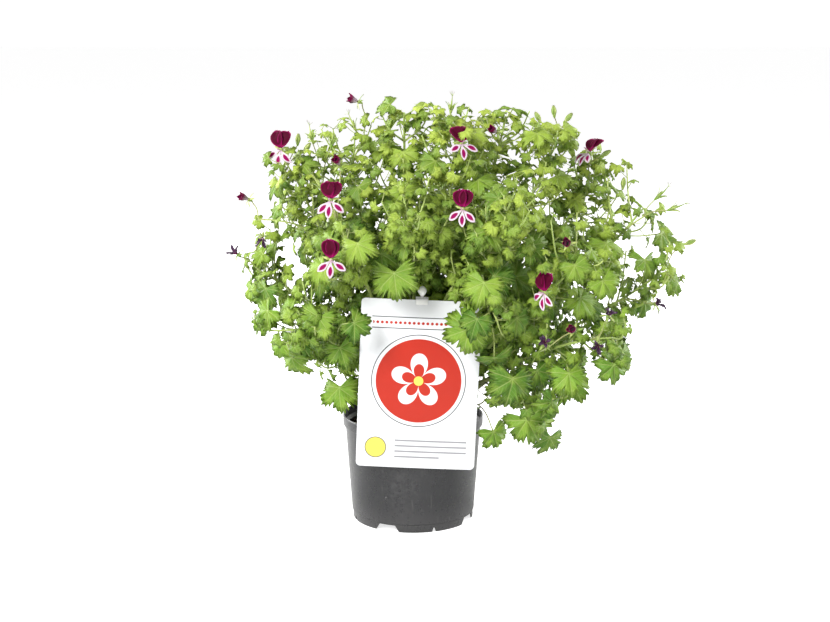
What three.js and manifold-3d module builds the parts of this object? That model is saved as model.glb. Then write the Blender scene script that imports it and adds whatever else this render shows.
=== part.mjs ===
// A lemon-scented geranium in a plastic nursery pot, with a plant card on a stick.
// Units are millimetres and +Z is up. The pot stands on z = 0 and its card faces -Y.
// The plant is laid out from the pot's axis, and the whole is moved at the end so that the
// origin lies on the ground under the middle of its box.
import * as THREE from "three";
import { mergeVertices } from "three/addons/utils/BufferGeometryUtils.js";
import Module from "manifold-3d";

const wasm = await Module();
wasm.setup();

const CLEARANCE = 0.3;
const POT_AXIS = [-44, -10, 0];

const POT = {
  height: 98,
  lipRadius: 65,
  lipHeight: 9,
  topRadius: 62.8,
  footRadius: 56.6,
  footHeight: 6.5,
  wall: 1.4,
  sides: 28,
  feet: 4,
  gapAngle: 20,
  firstGapAngle: -25,
  notchWidth: 4.5,
  notchHeight: 4,
  drain: { holes: 6, radius: 4, ring: 38 },
};

const SOIL = { top: 86, sides: 18, rings: 2, lump: 1.8 };

const CARD = {
  width: 106,
  height: 153,
  thickness: 0.8,
  bottom: 64.4,
  middle: 4.7,
  back: -65.4,
  lean: 2.36,
  corner: 4,
  bow: 1.2,
  columns: 6,
};

const STICK = {
  width: 7,
  thickness: 1.6,
  bottom: 42,
  bottomY: -54,
  flangeWidth: 11,
  flangeRise: 2.4,
  lip: 4,
  headRadius: 4,
  headHeight: 10,
  headSides: 10,
};

const STEM = { rootDepth: 26, baseRadius: 2.3, tipRadius: 0.9, steps: 7, sides: 4 };
const STALK = { radius: 0.8, sides: 3 };
const BUSH_CENTRE = new THREE.Vector3(25, 0, 190);
const LIGHT = new THREE.Vector3(-0.2, -0.85, 0.5);
const UP = new THREE.Vector3(0, 0, 1);

// Each leafy shoot from the pot's axis: where it leaves the soil, the point that bends it
// outwards, and its tip.
const SHOOTS = [
  { name: "left_low_front", foot: [-24, -18], bend: [-80, -54, 196], tip: [-106, -74, 192], bare: 0.8, seed: 11 },
  { name: "left_low", foot: [-30, 1], bend: [-104, 4, 214], tip: [-136, 4, 228], seed: 12 },
  { name: "left_high", foot: [-17, -6], bend: [-84, -10, 262], tip: [-106, -12, 322], seed: 13 },
  { name: "left_back", foot: [-20, 20], bend: [-74, 70, 220], tip: [-98, 92, 258], seed: 14 },
  { name: "top_left", foot: [-10, 8], bend: [-48, 24, 262], tip: [-58, 26, 334], seed: 15 },
  { name: "front_left", foot: [-12, -21], bend: [-44, -58, 246], tip: [-60, -78, 272], seed: 16 },
  { name: "top_mid_left", foot: [-3, -3], bend: [-8, 4, 280], tip: [-8, 4, 376], seed: 17 },
  { name: "front_mid", foot: [0, -18], bend: [2, -56, 256], tip: [0, -82, 286], seed: 18 },
  { name: "top_mid", foot: [8, -9], bend: [34, -22, 276], tip: [38, -28, 364], seed: 19 },
  { name: "top_right_mid", foot: [12, 3], bend: [68, 10, 278], tip: [84, 14, 372], seed: 20 },
  { name: "top_right", foot: [20, -5], bend: [104, -6, 270], tip: [128, -8, 358], seed: 21 },
  { name: "right_high", foot: [24, 8], bend: [134, 18, 246], tip: [170, 26, 318], seed: 22 },
  { name: "right_out", foot: [31, 0], bend: [158, -2, 222], tip: [204, -2, 284], seed: 23 },
  { name: "right", foot: [36, -9], bend: [172, -16, 190], tip: [222, -18, 232], seed: 24 },
  { name: "front_right_high", foot: [16, -18], bend: [64, -72, 250], tip: [80, -92, 300], seed: 25 },
  { name: "front_right", foot: [25, -22], bend: [112, -74, 214], tip: [142, -92, 256], seed: 26 },
  { name: "right_low_front", foot: [33, -20], bend: [128, -70, 186], tip: [174, -88, 188], seed: 27 },
  { name: "right_low", foot: [20, -34], bend: [84, -48, 168], tip: [122, -74, 128], seed: 28 },
  { name: "front_right_low", foot: [8, -30], bend: [40, -58, 292], tip: [72, -106, 206], seed: 29 },
  { name: "back_right", foot: [28, 20], bend: [128, 76, 206], tip: [162, 98, 246], seed: 30 },
  { name: "back", foot: [10, 25], bend: [36, 92, 236], tip: [44, 118, 290], seed: 41 },
  { name: "back_left", foot: [-6, 27], bend: [-22, 92, 196], tip: [-30, 120, 236], seed: 32 },
  { name: "back_low", foot: [20, 32], bend: [70, 104, 186], tip: [92, 136, 194], seed: 33 },
];

// Large leaves that hang where they show best: the shoot and the share of it that they grow
// from, the stalk's end, the way the blade faces, the way its tip points, and its radius.
const PLACED_LEAVES = [
  { shoot: "front_mid", from: 0.5, at: [-16, -96, 246], face: [-0.1, -0.95, 0.3], tip: [0.1, -0.2, -1], radius: 24 },
  { shoot: "front_right_low", from: 0.72, at: [48, -106, 200], face: [-0.25, -0.9, 0.35], tip: [-0.9, -0.1, -0.35], radius: 25 },
  { shoot: "left_low_front", from: 0.62, at: [-51, -92, 202], face: [0.2, -0.9, 0.35], tip: [0.8, -0.1, -0.5], radius: 17 },
  { shoot: "left_low_front", from: 0.68, at: [-82, -84, 206], face: [-0.1, -0.9, 0.4], tip: [-0.3, -0.2, -0.9], radius: 21 },
  { shoot: "left_low_front", from: 0.55, at: [-64, -74, 176], face: [0.1, -0.9, 0.35], tip: [0.3, -0.2, -0.9], radius: 19 },
  { shoot: "left_low_front", from: 0.86, at: [-128, -62, 207], face: [-0.3, -0.85, 0.35], tip: [-0.7, 0, -0.6], radius: 20 },
  { shoot: "left_low_front", from: 0.7, at: [-107, -58, 164], face: [-0.2, -0.9, 0.4], tip: [-0.3, 0, -1], radius: 22 },
  { shoot: "left_low_front", from: 0.3, at: [-66, -50, 134], face: [-0.3, -0.8, 0.4], tip: [0.1, -0.2, -1], radius: 22 },
  { shoot: "right_low", from: 0.86, at: [100, -84, 114], face: [0.1, -0.9, 0.4], tip: [0.4, -0.2, -0.9], radius: 25 },
  { shoot: "right_low", from: 0.6, at: [122, -64, 92], face: [0.3, -0.85, 0.4], tip: [-0.1, -0.2, -1], radius: 19 },
  { shoot: "right_low", from: 0.34, at: [72, -60, 96], face: [0.3, -0.9, 0.3], tip: [0.4, -0.2, -0.8], radius: 17 },
  { shoot: "right_low_front", from: 0.9, at: [172, -64, 170], face: [0.3, -0.9, 0.3], tip: [0.6, 0, -0.6], radius: 24 },
  { shoot: "front_right_low", from: 0.9, at: [70, -96, 172], face: [0.1, -0.9, 0.4], tip: [0.2, -0.2, -1], radius: 20 },
  { shoot: "front_right_high", from: 0.62, at: [60, -108, 240], face: [-0.1, -0.9, 0.45], tip: [-0.3, -0.2, -0.9], radius: 22 },
  { shoot: "left_low", from: 0.93, at: [-136, -12, 250], face: [-0.3, -0.6, 0.7], tip: [-1, 0, -0.2], radius: 14 },
  { shoot: "right_low_front", from: 0.66, at: [134, -104, 160], face: [0.1, -0.9, 0.45], tip: [0.1, -0.2, -1], radius: 21 },
];

// Flower stalks: the shoot and the share of it that each grows from, where it forks, and what
// it carries there. A flower is its kind, its place and the way it faces.
const SPRAYS = [
  { shoot: "left_high", from: 0.9, fork: [-113, -14, 331], flowers: [
    { kind: "open", at: [-118, -20, 345], face: [-0.35, -0.9, 0.1] },
    { kind: "bud", at: [-103, -10, 352], face: [0.1, -0.2, 1] },
    { kind: "bud", at: [-96, -4, 344], face: [0.6, 0.1, 0.8] },
  ] },
  { shoot: "left_high", from: 0.66, fork: [-141, -4, 280], flowers: [
    { kind: "half", at: [-150, 0, 298], face: [-0.7, -0.4, 0.4] },
  ] },
  { shoot: "left_low", from: 0.97, fork: [-147, 2, 238], flowers: [
    { kind: "faded", at: [-160, -8, 249], face: [-0.7, -0.2, 0.6] },
    { kind: "faded", at: [-135, -22, 266], face: [-0.1, -0.3, -0.9] },
  ] },
  { shoot: "top_left", from: 0.72, fork: [-84, 20, 318], flowers: [
    { kind: "spent", at: [-92, 12, 352], face: [-0.2, -0.1, 1] },
    { kind: "spent", at: [-74, 20, 347], face: [0.15, 0, 1] },
  ] },
  { shoot: "top_left", from: 0.92, fork: [-45, 18, 350], flowers: [
    { kind: "half", at: [-50, 2, 386], face: [-0.9, -0.2, 0.35] },
    { kind: "spent", at: [-54, 22, 362], face: [-0.4, 0, 0.9] },
  ] },
  { shoot: "front_left", from: 0.88, fork: [-66, -80, 290], flowers: [
    { kind: "open", at: [-70, -94, 309], face: [-0.1, -0.95, 0.25] },
    { kind: "spent", at: [-80, -72, 318], face: [-0.5, -0.1, 0.9] },
    { kind: "half", at: [-64, -62, 336], face: [-0.3, -0.6, 0.6] },
  ] },
  { shoot: "front_left", from: 0.62, fork: [-72, -98, 240], flowers: [
    { kind: "open", at: [-69, -114, 261], face: [0.05, -1, 0.1] },
  ] },
  { shoot: "top_mid", from: 0.84, fork: [44, -46, 344], flowers: [
    { kind: "open", at: [42, -62, 354], face: [0.3, -0.8, 0.45] },
  ] },
  { shoot: "top_mid", from: 0.94, fork: [32, -14, 362], flowers: [
    { kind: "spent", at: [34, -6, 380], face: [0.1, 0, 1] },
  ] },
  { shoot: "top_right_mid", from: 0.86, fork: [78, 2, 350], flowers: [
    { kind: "half", at: [74, -14, 360], face: [-0.6, -0.6, 0.4] },
    { kind: "bud", at: [62, 6, 366], face: [-0.5, 0, 1] },
  ] },
  { shoot: "top_right", from: 0.84, fork: [134, 8, 354], flowers: [
    { kind: "bud", at: [127, 4, 376], face: [-0.1, 0, 1] },
    { kind: "bud", at: [140, 10, 370], face: [0.6, 0.1, 0.7] },
    { kind: "bud", at: [114, 16, 370], face: [-0.5, 0.2, 0.9] },
  ] },
  { shoot: "right_high", from: 0.9, fork: [160, 14, 326], flowers: [
    { kind: "open", at: [158, -4, 341], face: [-0.6, -0.4, 0.7] },
    { kind: "bud", at: [174, 8, 338], face: [0.8, -0.1, 0.5] },
  ] },
  { shoot: "right_out", from: 0.88, fork: [208, -14, 284], flowers: [
    { kind: "spent", at: [221, -12, 302], face: [0.8, -0.1, 0.7] },
    { kind: "spent", at: [232, -22, 292], face: [1, -0.1, 0.35] },
  ] },
  { shoot: "right_out", from: 0.7, fork: [180, 10, 290], flowers: [
    { kind: "spent", at: [176, 10, 310], face: [-0.2, -0.2, 1] },
    { kind: "bud", at: [192, 12, 310], face: [0.1, 0, 1] },
  ] },
  { shoot: "right", from: 0.9, fork: [232, -6, 240], flowers: [
    { kind: "bud", at: [252, 0, 258], face: [0.9, 0, 0.35] },
  ] },
  { shoot: "right", from: 0.8, fork: [208, -30, 208], flowers: [
    { kind: "faded", at: [218, -34, 208], face: [0.5, -0.4, 0.2] },
  ] },
  { shoot: "front_right_high", from: 0.84, fork: [58, -92, 284], flowers: [
    { kind: "open", at: [42, -98, 302], face: [-0.2, -0.95, 0.15] },
    { kind: "spent", at: [62, -102, 297], face: [-0.2, -0.4, 0.9] },
  ] },
  { shoot: "front_right", from: 0.9, fork: [140, -92, 268], flowers: [
    { kind: "half", at: [132, -98, 272], face: [-0.3, -0.9, 0.3] },
  ] },
  { shoot: "front_right", from: 0.66, fork: [112, -102, 226], flowers: [
    { kind: "open", at: [110, -120, 234], face: [-0.75, -0.6, 0.1] },
  ] },
  { shoot: "right_low_front", from: 0.5, fork: [116, -100, 182], flowers: [
    { kind: "faded", at: [112, -116, 190], face: [-0.1, -0.8, 0.4] },
    { kind: "half", at: [137, -112, 200], face: [-0.4, -0.8, 0.3] },
  ] },
  { shoot: "right_low_front", from: 0.86, fork: [164, -92, 196], flowers: [
    { kind: "faded", at: [158, -106, 186], face: [-0.1, -0.7, -0.3] },
    { kind: "faded", at: [168, -96, 210], face: [0.3, -0.5, 0.7] },
  ] },
];

// Blade outlines as degrees from the midrib and shares of the radius, for one half of the leaf.
const LARGE_OUTLINE = [[0, 1], [16, 0.9], [27, 0.46], [40, 0.87], [58, 0.92], [82, 0.48], [112, 0.76]];
const SMALL_OUTLINE = [[0, 1], [17, 0.9], [28, 0.5], [54, 0.92], [82, 0.56], [122, 0.62]];
const LARGE_LEAF = 14;
const LOBE_SPACING = 54;
const BLADE_HALF = 0.7;

// One seeded stream of numbers from 0 to 1.
class Dice {
  constructor(seed) {
    this.state = seed >>> 0;
    this.next();
    this.next();
  }
  next() {
    this.state = (Math.imul(this.state, 1664525) + 1013904223) >>> 0;
    return this.state / 4294967296;
  }
  between(low, high) {
    return low + (high - low) * this.next();
  }
}

const vector = (xyz) => new THREE.Vector3(...xyz);
const radians = (degrees) => (degrees * Math.PI) / 180;
const mixed = (...pairs) =>
  pairs.reduce((sum, [v, share]) => sum.addScaledVector(v, share), new THREE.Vector3());
const along = (a, b, share) => a.clone().lerp(b, share);

const LEAST_STALK_ANGLE = 0.45;

// What has grown so far, as points with the room that each keeps round it.
const grown = [];
const OWN_SHOOT_ROOM = 0.7;

function occupy(points, room, shoot) {
  for (const p of points) grown.push({ p, room, shoot });
}

// True where a point would enter the pot, the soil or the card.
function blocked(p) {
  const r = Math.hypot(p.x, p.y);
  const inPot = p.z < POT.height + 4 && r < POT.lipRadius + 4;
  const byCard = Math.abs(p.x - CARD.middle) < CARD.width / 2 + 5
    && p.y > CARD.back - 6 && p.y < CARD.back + 10
    && p.z > CARD.bottom - 4 && p.z < CARD.bottom + CARD.height + 16;
  return inPot || byCard || p.z < 8;
}

function clashes(points, room, shoot) {
  return points.some((p) => blocked(p) || grown.some((g) => {
    const apart = (g.room + room) * (g.shoot === shoot ? OWN_SHOOT_ROOM : 1);
    return p.distanceToSquared(g.p) < apart * apart;
  }));
}

// The points of a bent line, closer together than the room round them.
function spaced(line, gap) {
  const points = [];
  for (let i = 0; i + 1 < line.length; i++) {
    const steps = Math.ceil(line[i].distanceTo(line[i + 1]) / gap);
    for (let k = 0; k < steps; k++) points.push(along(line[i], line[i + 1], k / steps));
  }
  points.push(line[line.length - 1]);
  return points;
}

function bezier(a, b, c, d, steps) {
  return new THREE.CubicBezierCurve3(a, b, c, d).getPoints(steps);
}

// The point and direction at a share of a bent line, counted by its corners.
function spot(line, share) {
  const place = Math.min(share, 0.999) * (line.length - 1);
  const i = Math.floor(place);
  return {
    at: along(line[i], line[i + 1], place - i),
    way: line[i + 1].clone().sub(line[i]).normalize(),
  };
}

// A main stem: straight up out of the soil, then over to the shoot's tip.
function mainStem(shoot) {
  const foot = new THREE.Vector3(...shoot.foot, SOIL.top + 5);
  const bend = vector(shoot.bend);
  const low = mixed([foot, 0.94], [bend, 0.06]).setZ(foot.z + 0.45 * (bend.z - foot.z));
  const line = bezier(foot, low, bend, vector(shoot.tip), STEM.steps);
  return { line, root: foot.clone().setZ(SOIL.top - STEM.rootDepth) };
}

// A point on a blade, at degrees from its midrib and a distance from its stalk.
function bladePoint(leaf, degrees, distance) {
  const share = distance / leaf.radius;
  const angle = radians(degrees);
  const pleat = Math.cos((2 * Math.PI * degrees) / LOBE_SPACING);
  const wave = Math.sin(2 * angle + leaf.phase);
  const lift = leaf.radius * (-leaf.droop * share * share - 0.05 * share * pleat
    + leaf.wave * share * share * wave);
  return mixed([leaf.centre, 1], [leaf.tip, distance * Math.cos(angle)],
    [leaf.side, distance * Math.sin(angle)], [leaf.face, lift]);
}

// Points spread over a blade, to see what it would touch.
function bladePoints(leaf) {
  const points = [leaf.centre];
  for (let degrees = -110; degrees <= 110; degrees += 27.5) {
    const edge = leaf.radius * (1 - 0.25 * Math.abs(degrees) / 110);
    points.push(bladePoint(leaf, degrees, 0.52 * edge), bladePoint(leaf, degrees, 0.96 * edge));
  }
  return points;
}

// A leaf on its stalk: line is the stalk, and the blade faces and points as given, though
// never so that the stalk would come through it.
function leafOf(line, faceWay, tipWay, radius, dice) {
  const end = line[line.length - 1];
  const way = end.clone().sub(line[line.length - 2]).normalize();
  const face = faceWay.clone().normalize();
  const shortfall = LEAST_STALK_ANGLE - face.dot(way);
  if (shortfall > 0) face.addScaledVector(way, 1.4 * shortfall).normalize();
  const tip = mixed([tipWay, 1], [face, -tipWay.dot(face)]).normalize();
  return {
    line, face, tip, radius,
    side: face.clone().cross(tip),
    centre: end,
    droop: dice.between(0.12, 0.3),
    wave: dice.between(0.03, 0.1),
    phase: dice.between(0, 2 * Math.PI),
  };
}

// A leaf that grows from a stem at a share of it, turned round it by an angle. Only a long
// stalk is bent.
const LONG_STALK = 30;

function grownLeaf(stem, share, turn, radius, length, dice) {
  const { at, way } = spot(stem.line, share);
  const ref = mixed([stem.level, 1], [way, -stem.level.dot(way)]).normalize();
  const cross = way.clone().cross(ref);
  const out = mixed([ref, Math.cos(turn)], [cross, Math.sin(turn)]);
  const knee = mixed([at, 1], [way, 0.3 * length], [out, 0.4 * length]);
  const rise = mixed([way, 0.25], [out, 0.7], [UP, 0.3]).normalize();
  const end = mixed([knee, 1], [rise, 0.5 * length]);
  const outward = end.clone().sub(BUSH_CENTRE).normalize();
  const height = THREE.MathUtils.clamp((end.z - 90) / 250, 0, 1);
  const jitter = new THREE.Vector3(dice.between(-1, 1), dice.between(-1, 1), dice.between(-1, 1));
  const face = mixed([LIGHT, 0.6 + 0.3 * height], [outward, 0.7], [jitter, 0.35]);
  const tipWay = mixed([outward, 0.7], [out, 0.6], [UP, -0.55]);
  const line = at.distanceTo(end) > LONG_STALK ? [at, knee, end] : [at, end];
  return leafOf(line, face, tipWay, radius, dice);
}

// Tries a few turns and lengths, and keeps the first leaf that touches nothing.
function tryLeaf(shoot, stem, share, turn, radius, length, dice) {
  for (const [twist, stretch] of [[0, 1], [0.5, 1.1], [-0.5, 0.85], [1.1, 1.25], [-1.1, 1], [1.8, 0.7]]) {
    const leaf = grownLeaf(stem, share, turn + twist, radius, length * stretch, dice);
    const points = bladePoints(leaf);
    const stalk = spaced(leaf.line, 4).slice(2);
    if (!clashes(points, 0.16 * radius, shoot.name) && !clashes(stalk, 1.4, shoot.name)) {
      occupy(points, 0.16 * radius, shoot.name);
      occupy(stalk, 1.6, shoot.name);
      shoot.leaves.push(leaf);
      return true;
    }
  }
  return false;
}

const GOLDEN_ANGLE = radians(137.5);
const LEAF_PLACES = [0.99, 0.95, 0.9, 0.84, 0.77, 0.7, 0.62, 0.53, 0.43];

// Grows a shoot's leaves along its main stem, from the tip down: by turns long and short.
function leafShoot(shoot) {
  const dice = new Dice(shoot.seed);
  let turn = dice.between(0, 2 * Math.PI);
  LEAF_PLACES.forEach((share, i) => {
    turn += GOLDEN_ANGLE;
    if (share < (shoot.bare ?? 0)) return;
    const radius = (26 - 10 * share * share) * dice.between(0.85, 1.12);
    const length = radius * (i % 2 > 0 || share > 0.9 ? dice.between(0.8, 1.2) : dice.between(1.7, 2.3));
    tryLeaf(shoot, shoot.stem, share, turn, radius, length, dice);
  });
}

// Stalks of a spray: one to its fork, and one from there to each flower's back.
const SEAT_DEPTH = 3.4;
const FLOWER_ROOM = { open: 13, half: 7, faded: 7, spent: 5, bud: 2 };

function laySpray(spray, shoot) {
  const { at, way } = spot(shoot.stem.line, spray.from);
  const fork = vector(spray.fork);
  const lead = mixed([at, 1], [way, 0.45 * at.distanceTo(fork)]);
  const line = new THREE.QuadraticBezierCurve3(at, lead, fork).getPoints(2);
  shoot.stalks.push(line);
  occupy(spaced(line, 4).slice(2), 1.6, shoot.name);
  const inward = line[1].clone().sub(fork).normalize();
  spray.flowers.forEach((flower, i) => {
    const start = mixed([fork, 1], [inward, 0.7 + 0.6 * i]);
    const face = vector(flower.face).normalize();
    const head = vector(flower.at);
    const seat = mixed([head, 1], [face, -SEAT_DEPTH]);
    const bow = mixed([fork, 0.5], [seat, 0.5], [UP, 0.1 * fork.distanceTo(seat)], [face, -3]);
    shoot.stalks.push([start, bow, seat]);
    shoot.flowers.push({ kind: flower.kind, head, face });
    occupy(spaced([start, bow, seat], 4), 1.6, shoot.name);
    const size = FLOWER_ROOM[flower.kind];
    const up = flowerUp(face);
    const across = face.clone().cross(up);
    const rim = Array.from({ length: 10 }, (_, k) => mixed([head, 1],
      [up, size * Math.cos(0.2 * Math.PI * k)], [across, size * Math.sin(0.2 * Math.PI * k)]));
    occupy([head, ...rim, ...rim.map((p) => along(head, p, 0.5))], 3.2, shoot.name);
  });
}

// The way a flower's upper petals point.
function flowerUp(face) {
  const lean = Math.abs(face.z) > 0.95 ? new THREE.Vector3(0, 1, 0) : UP;
  return mixed([lean, 1], [face, -lean.dot(face)]).normalize();
}

function growPlant() {
  const shoots = SHOOTS.map((given) => {
    const azimuth = Math.atan2(given.tip[1], given.tip[0]);
    const level = new THREE.Vector3(-Math.sin(azimuth), Math.cos(azimuth), 0);
    const stem = { ...mainStem(given), level };
    occupy(spaced(stem.line, 4), STEM.tipRadius + 1, given.name);
    return { ...given, stem, leaves: [], stalks: [], flowers: [] };
  });
  const named = (name) => shoots.find((s) => s.name === name);
  for (const spray of SPRAYS) laySpray(spray, named(spray.shoot));
  const dice = new Dice(5);
  for (const placed of PLACED_LEAVES) {
    const shoot = named(placed.shoot);
    const { at, way } = spot(shoot.stem.line, placed.from);
    const end = vector(placed.at);
    const knee = mixed([at, 0.45], [end, 0.55], [way, 0.12 * at.distanceTo(end)], [UP, 3]);
    const leaf = leafOf([at, knee, end], vector(placed.face), vector(placed.tip), placed.radius, dice);
    occupy(bladePoints(leaf), 0.16 * leaf.radius, shoot.name);
    occupy(spaced(leaf.line, 4).slice(2), 1.6, shoot.name);
    shoot.leaves.push(leaf);
  }
  shoots.forEach(leafShoot);
  return shoots;
}

// Solids from vertices and triangles.
function solidFrom(vertices, triangles) {
  return new wasm.Manifold(new wasm.Mesh({
    numProp: 3,
    vertProperties: new Float32Array(vertices.flatMap((v) => [v.x, v.y, v.z])),
    triVerts: new Uint32Array(triangles.flat()),
  }));
}

function solidOf(geometry) {
  const bare = geometry.index ? geometry.toNonIndexed() : geometry.clone();
  bare.deleteAttribute("normal");
  bare.deleteAttribute("uv");
  const merged = mergeVertices(bare, 1e-4);
  return new wasm.Manifold(new wasm.Mesh({
    numProp: 3,
    vertProperties: new Float32Array(merged.attributes.position.array),
    triVerts: new Uint32Array(merged.index.array),
  }));
}

// One body from several, without the slivers that crossing faces leave.
const SLIVER = 0.03;

function joined(solids) {
  return wasm.Manifold.union(solids).simplify(SLIVER);
}

function geometryOf(solid) {
  const mesh = solid.getMesh();
  const points = new Float32Array(mesh.numVert * 3);
  for (let i = 0; i < mesh.numVert; i++)
    points.set(mesh.vertProperties.subarray(i * mesh.numProp, i * mesh.numProp + 3), 3 * i);
  const geometry = new THREE.BufferGeometry();
  geometry.setAttribute("position", new THREE.BufferAttribute(points, 3));
  geometry.setIndex(new THREE.BufferAttribute(new Uint32Array(mesh.triVerts), 1));
  geometry.computeVertexNormals();
  return geometry;
}

// Rings of corners round the spots of a bent line, each a point and a radius.
function ringsRound(spots, sides, level) {
  let ref = level.clone();
  return spots.flatMap(([p, radius], i) => {
    const before = spots[Math.max(i - 1, 0)][0];
    const after = spots[Math.min(i + 1, spots.length - 1)][0];
    const way = after.clone().sub(before).normalize();
    ref = mixed([ref, 1], [way, -ref.dot(way)]).normalize();
    const cross = way.clone().cross(ref);
    return Array.from({ length: sides }, (_, k) => {
      const a = (2 * Math.PI * k) / sides;
      return mixed([p, 1], [ref, radius * Math.cos(a)], [cross, radius * Math.sin(a)]);
    });
  });
}

// The faces between rings of corners, and the cap on the first ring.
function wallFaces(rings, sides) {
  const faces = [];
  for (let i = 0; i + 1 < rings; i++)
    for (let k = 0; k < sides; k++) {
      const a = i * sides + k;
      const b = i * sides + ((k + 1) % sides);
      faces.push([a, b, b + sides], [a, b + sides, a + sides]);
    }
  for (let k = 1; k + 1 < sides; k++) faces.push([0, k + 1, k]);
  return faces;
}

// A bar through spots on a bent line.
const SLANT = new THREE.Vector3(0.31, 0.87, 0.38);

function barThrough(spots, sides) {
  const faces = wallFaces(spots.length, sides);
  const last = (spots.length - 1) * sides;
  for (let k = 1; k + 1 < sides; k++) faces.push([last, last + k, last + k + 1]);
  return solidFrom(ringsRound(spots, sides, SLANT), faces);
}

// A bar along a bent line, narrowing evenly from one radius to the other.
function bar(line, firstRadius, lastRadius, sides) {
  const step = (lastRadius - firstRadius) / (line.length - 1);
  return barThrough(line.map((p, i) => [p, firstRadius + step * i]), sides);
}

// A bar that grows out of another, so that its first end is thin enough to hide in it.
const ROOT_RADIUS = 0.4;

function branchBar(line, radius, sides) {
  return barThrough(line.map((p, i) => [p, i > 0 ? radius : ROOT_RADIUS]), sides);
}

// A leaf with its stalk as one body: the stalk's last corners spread into the blade's back.
function leafSolid(leaf) {
  const half = leaf.radius > LARGE_LEAF ? LARGE_OUTLINE : SMALL_OUTLINE;
  const whole = [...half, ...half.slice(1).reverse().map(([degrees, share]) => [360 - degrees, share])];
  const outline = whole.map(([degrees, share]) => bladePoint(leaf, degrees, share * leaf.radius));
  const { sides, radius } = STALK;
  const line = leaf.line.slice(0, -1);
  const end = mixed([leaf.centre, 1], [leaf.face, -BLADE_HALF]);
  const collar = Array.from({ length: sides }, (_, k) => {
    const a = (2 * Math.PI * k) / sides;
    return mixed([end, 1], [leaf.tip, radius * Math.cos(a)], [leaf.side, radius * Math.sin(a)]);
  });
  const spots = [...line, end].map((p, i) => [p, i > 0 ? radius : ROOT_RADIUS]);
  const vertices = [...ringsRound(spots, sides, leaf.tip).slice(0, -sides), ...collar,
    ...outline, mixed([leaf.centre, 1], [leaf.face, BLADE_HALF])];
  const faces = wallFaces(line.length + 1, sides);
  const ring = line.length * sides;
  const edge = ring + sides;
  const top = edge + outline.length;
  const nearest = (degrees) => ring + (Math.round((degrees * sides) / 360) % sides);
  whole.forEach(([degrees], i) => {
    const next = (i + 1) % whole.length;
    const near = nearest(degrees);
    const nextNear = nearest(whole[next][0]);
    faces.push([edge + i, edge + next, top], [edge + next, edge + i, near]);
    if (near !== nextNear) faces.push([edge + next, near, nextNear]);
  });
  return solidFrom(vertices, faces);
}

// A flat body round a middle: its edge goes through spots given as degrees from the top, a
// distance and a lift towards the front. Its back runs to a point at a depth.
function rosette(middle, face, spots, front, depth) {
  const edge = spots.map(([degrees, distance, lift]) => {
    const a = radians(degrees);
    const up = flowerUp(face);
    return mixed([middle, 1], [up, distance * Math.cos(a)],
      [face.clone().cross(up), distance * Math.sin(a)], [face, lift]);
  });
  const count = edge.length;
  const vertices = [...edge, mixed([middle, 1], [face, front]), mixed([middle, 1], [face, -depth])];
  const faces = edge.flatMap((_, i) => {
    const next = (i + 1) % count;
    return [[i, next, count], [next, i, count + 1]];
  });
  return solidFrom(vertices, faces);
}

// The spots along one petal's edge, from one side of it to the other.
function petalSpots(degrees, { length, width, lift }) {
  const shoulder = 0.74 * length;
  const off = (Math.atan2(width / 2, shoulder) * 180) / Math.PI;
  const far = Math.hypot(shoulder, width / 2);
  return [[degrees - off, far, 0.8 * lift], [degrees, length, lift], [degrees + off, far, 0.8 * lift]];
}

// An open flower: two broad petals above, three narrow ones below, each lot with its own
// half of the flower's middle.
const UPPER_PETALS = { length: 16, width: 11.5, lift: 0.6, spread: [-27, 27] };
const LOWER_PETALS = { length: 15, width: 5.2, lift: 1, spread: [128, 180, 232] };
const THROAT = { offset: 1.2, valley: 2.2, front: 0.9, depth: 0.6 };

function openPetals({ head, face }, { spread, ...size }, side) {
  const middle = mixed([head, 1], [flowerUp(face), side * THROAT.offset]);
  const first = spread[0] - 45;
  const last = spread[spread.length - 1] + 45;
  const spots = spread.flatMap((degrees, i) => {
    const between = i > 0 ? [[(degrees + spread[i - 1]) / 2, side > 0 ? 9 : THROAT.valley, 0]] : [];
    return [...between, ...petalSpots(degrees, size)];
  });
  const waist = 0.95 * THROAT.offset;
  return rosette(middle, face, [[first, 2 * waist, 0], ...spots, [last, 2 * waist, 0],
    [side > 0 ? 180 : 0, waist, 0]], THROAT.front, THROAT.depth);
}

// A flower that is opening or has faded: narrow petals drawn together.
function closedPetals({ head, face, kind }) {
  const faded = kind === "faded";
  const spots = [20, 110, 200, 290].flatMap((degrees, i) => {
    const length = faded ? 7 : 6;
    const lift = faded ? 3 + 5 * (i % 2) : 9;
    return [...petalSpots(degrees, { length, width: faded ? 4 : 6.4, lift }), [degrees + 45, faded ? 1.5 : 3.2, 1]];
  });
  return rosette(head, face, spots, faded ? 2 : 3, 0.5);
}

// A bud, or the five-pointed cup behind a flower.
const CALYX = { back: 5.2, front: 0.9, sepal: 8, valley: 1.9 };
const BUD = { radius: 2.1, belly: -0.8, tip: 6 };

function calyxSolid({ head, face, kind }) {
  const at = (distance) => mixed([head, 1], [face, distance]);
  if (kind === "bud")
    return barThrough([[at(-CALYX.back), 1.2], [at(BUD.belly), BUD.radius], [at(BUD.tip), 0.5]], 5);
  const lift = kind === "spent" ? 4 : -2.4;
  const spots = [0, 72, 144, 216, 288].flatMap((a) => [[a, CALYX.sepal, lift], [a + 36, CALYX.valley, 0]]);
  return rosette(at(-CALYX.front), face, spots, 0, CALYX.back - CALYX.front);
}

function shootSolid(shoot) {
  const { line, root } = shoot.stem;
  return joined([
    bar([root, ...line], STEM.baseRadius, STEM.tipRadius, STEM.sides),
    ...shoot.stalks.map((line) => branchBar(line, STALK.radius, STALK.sides)),
    ...shoot.leaves.map(leafSolid),
    ...shoot.flowers.map(calyxSolid),
  ]);
}

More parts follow.
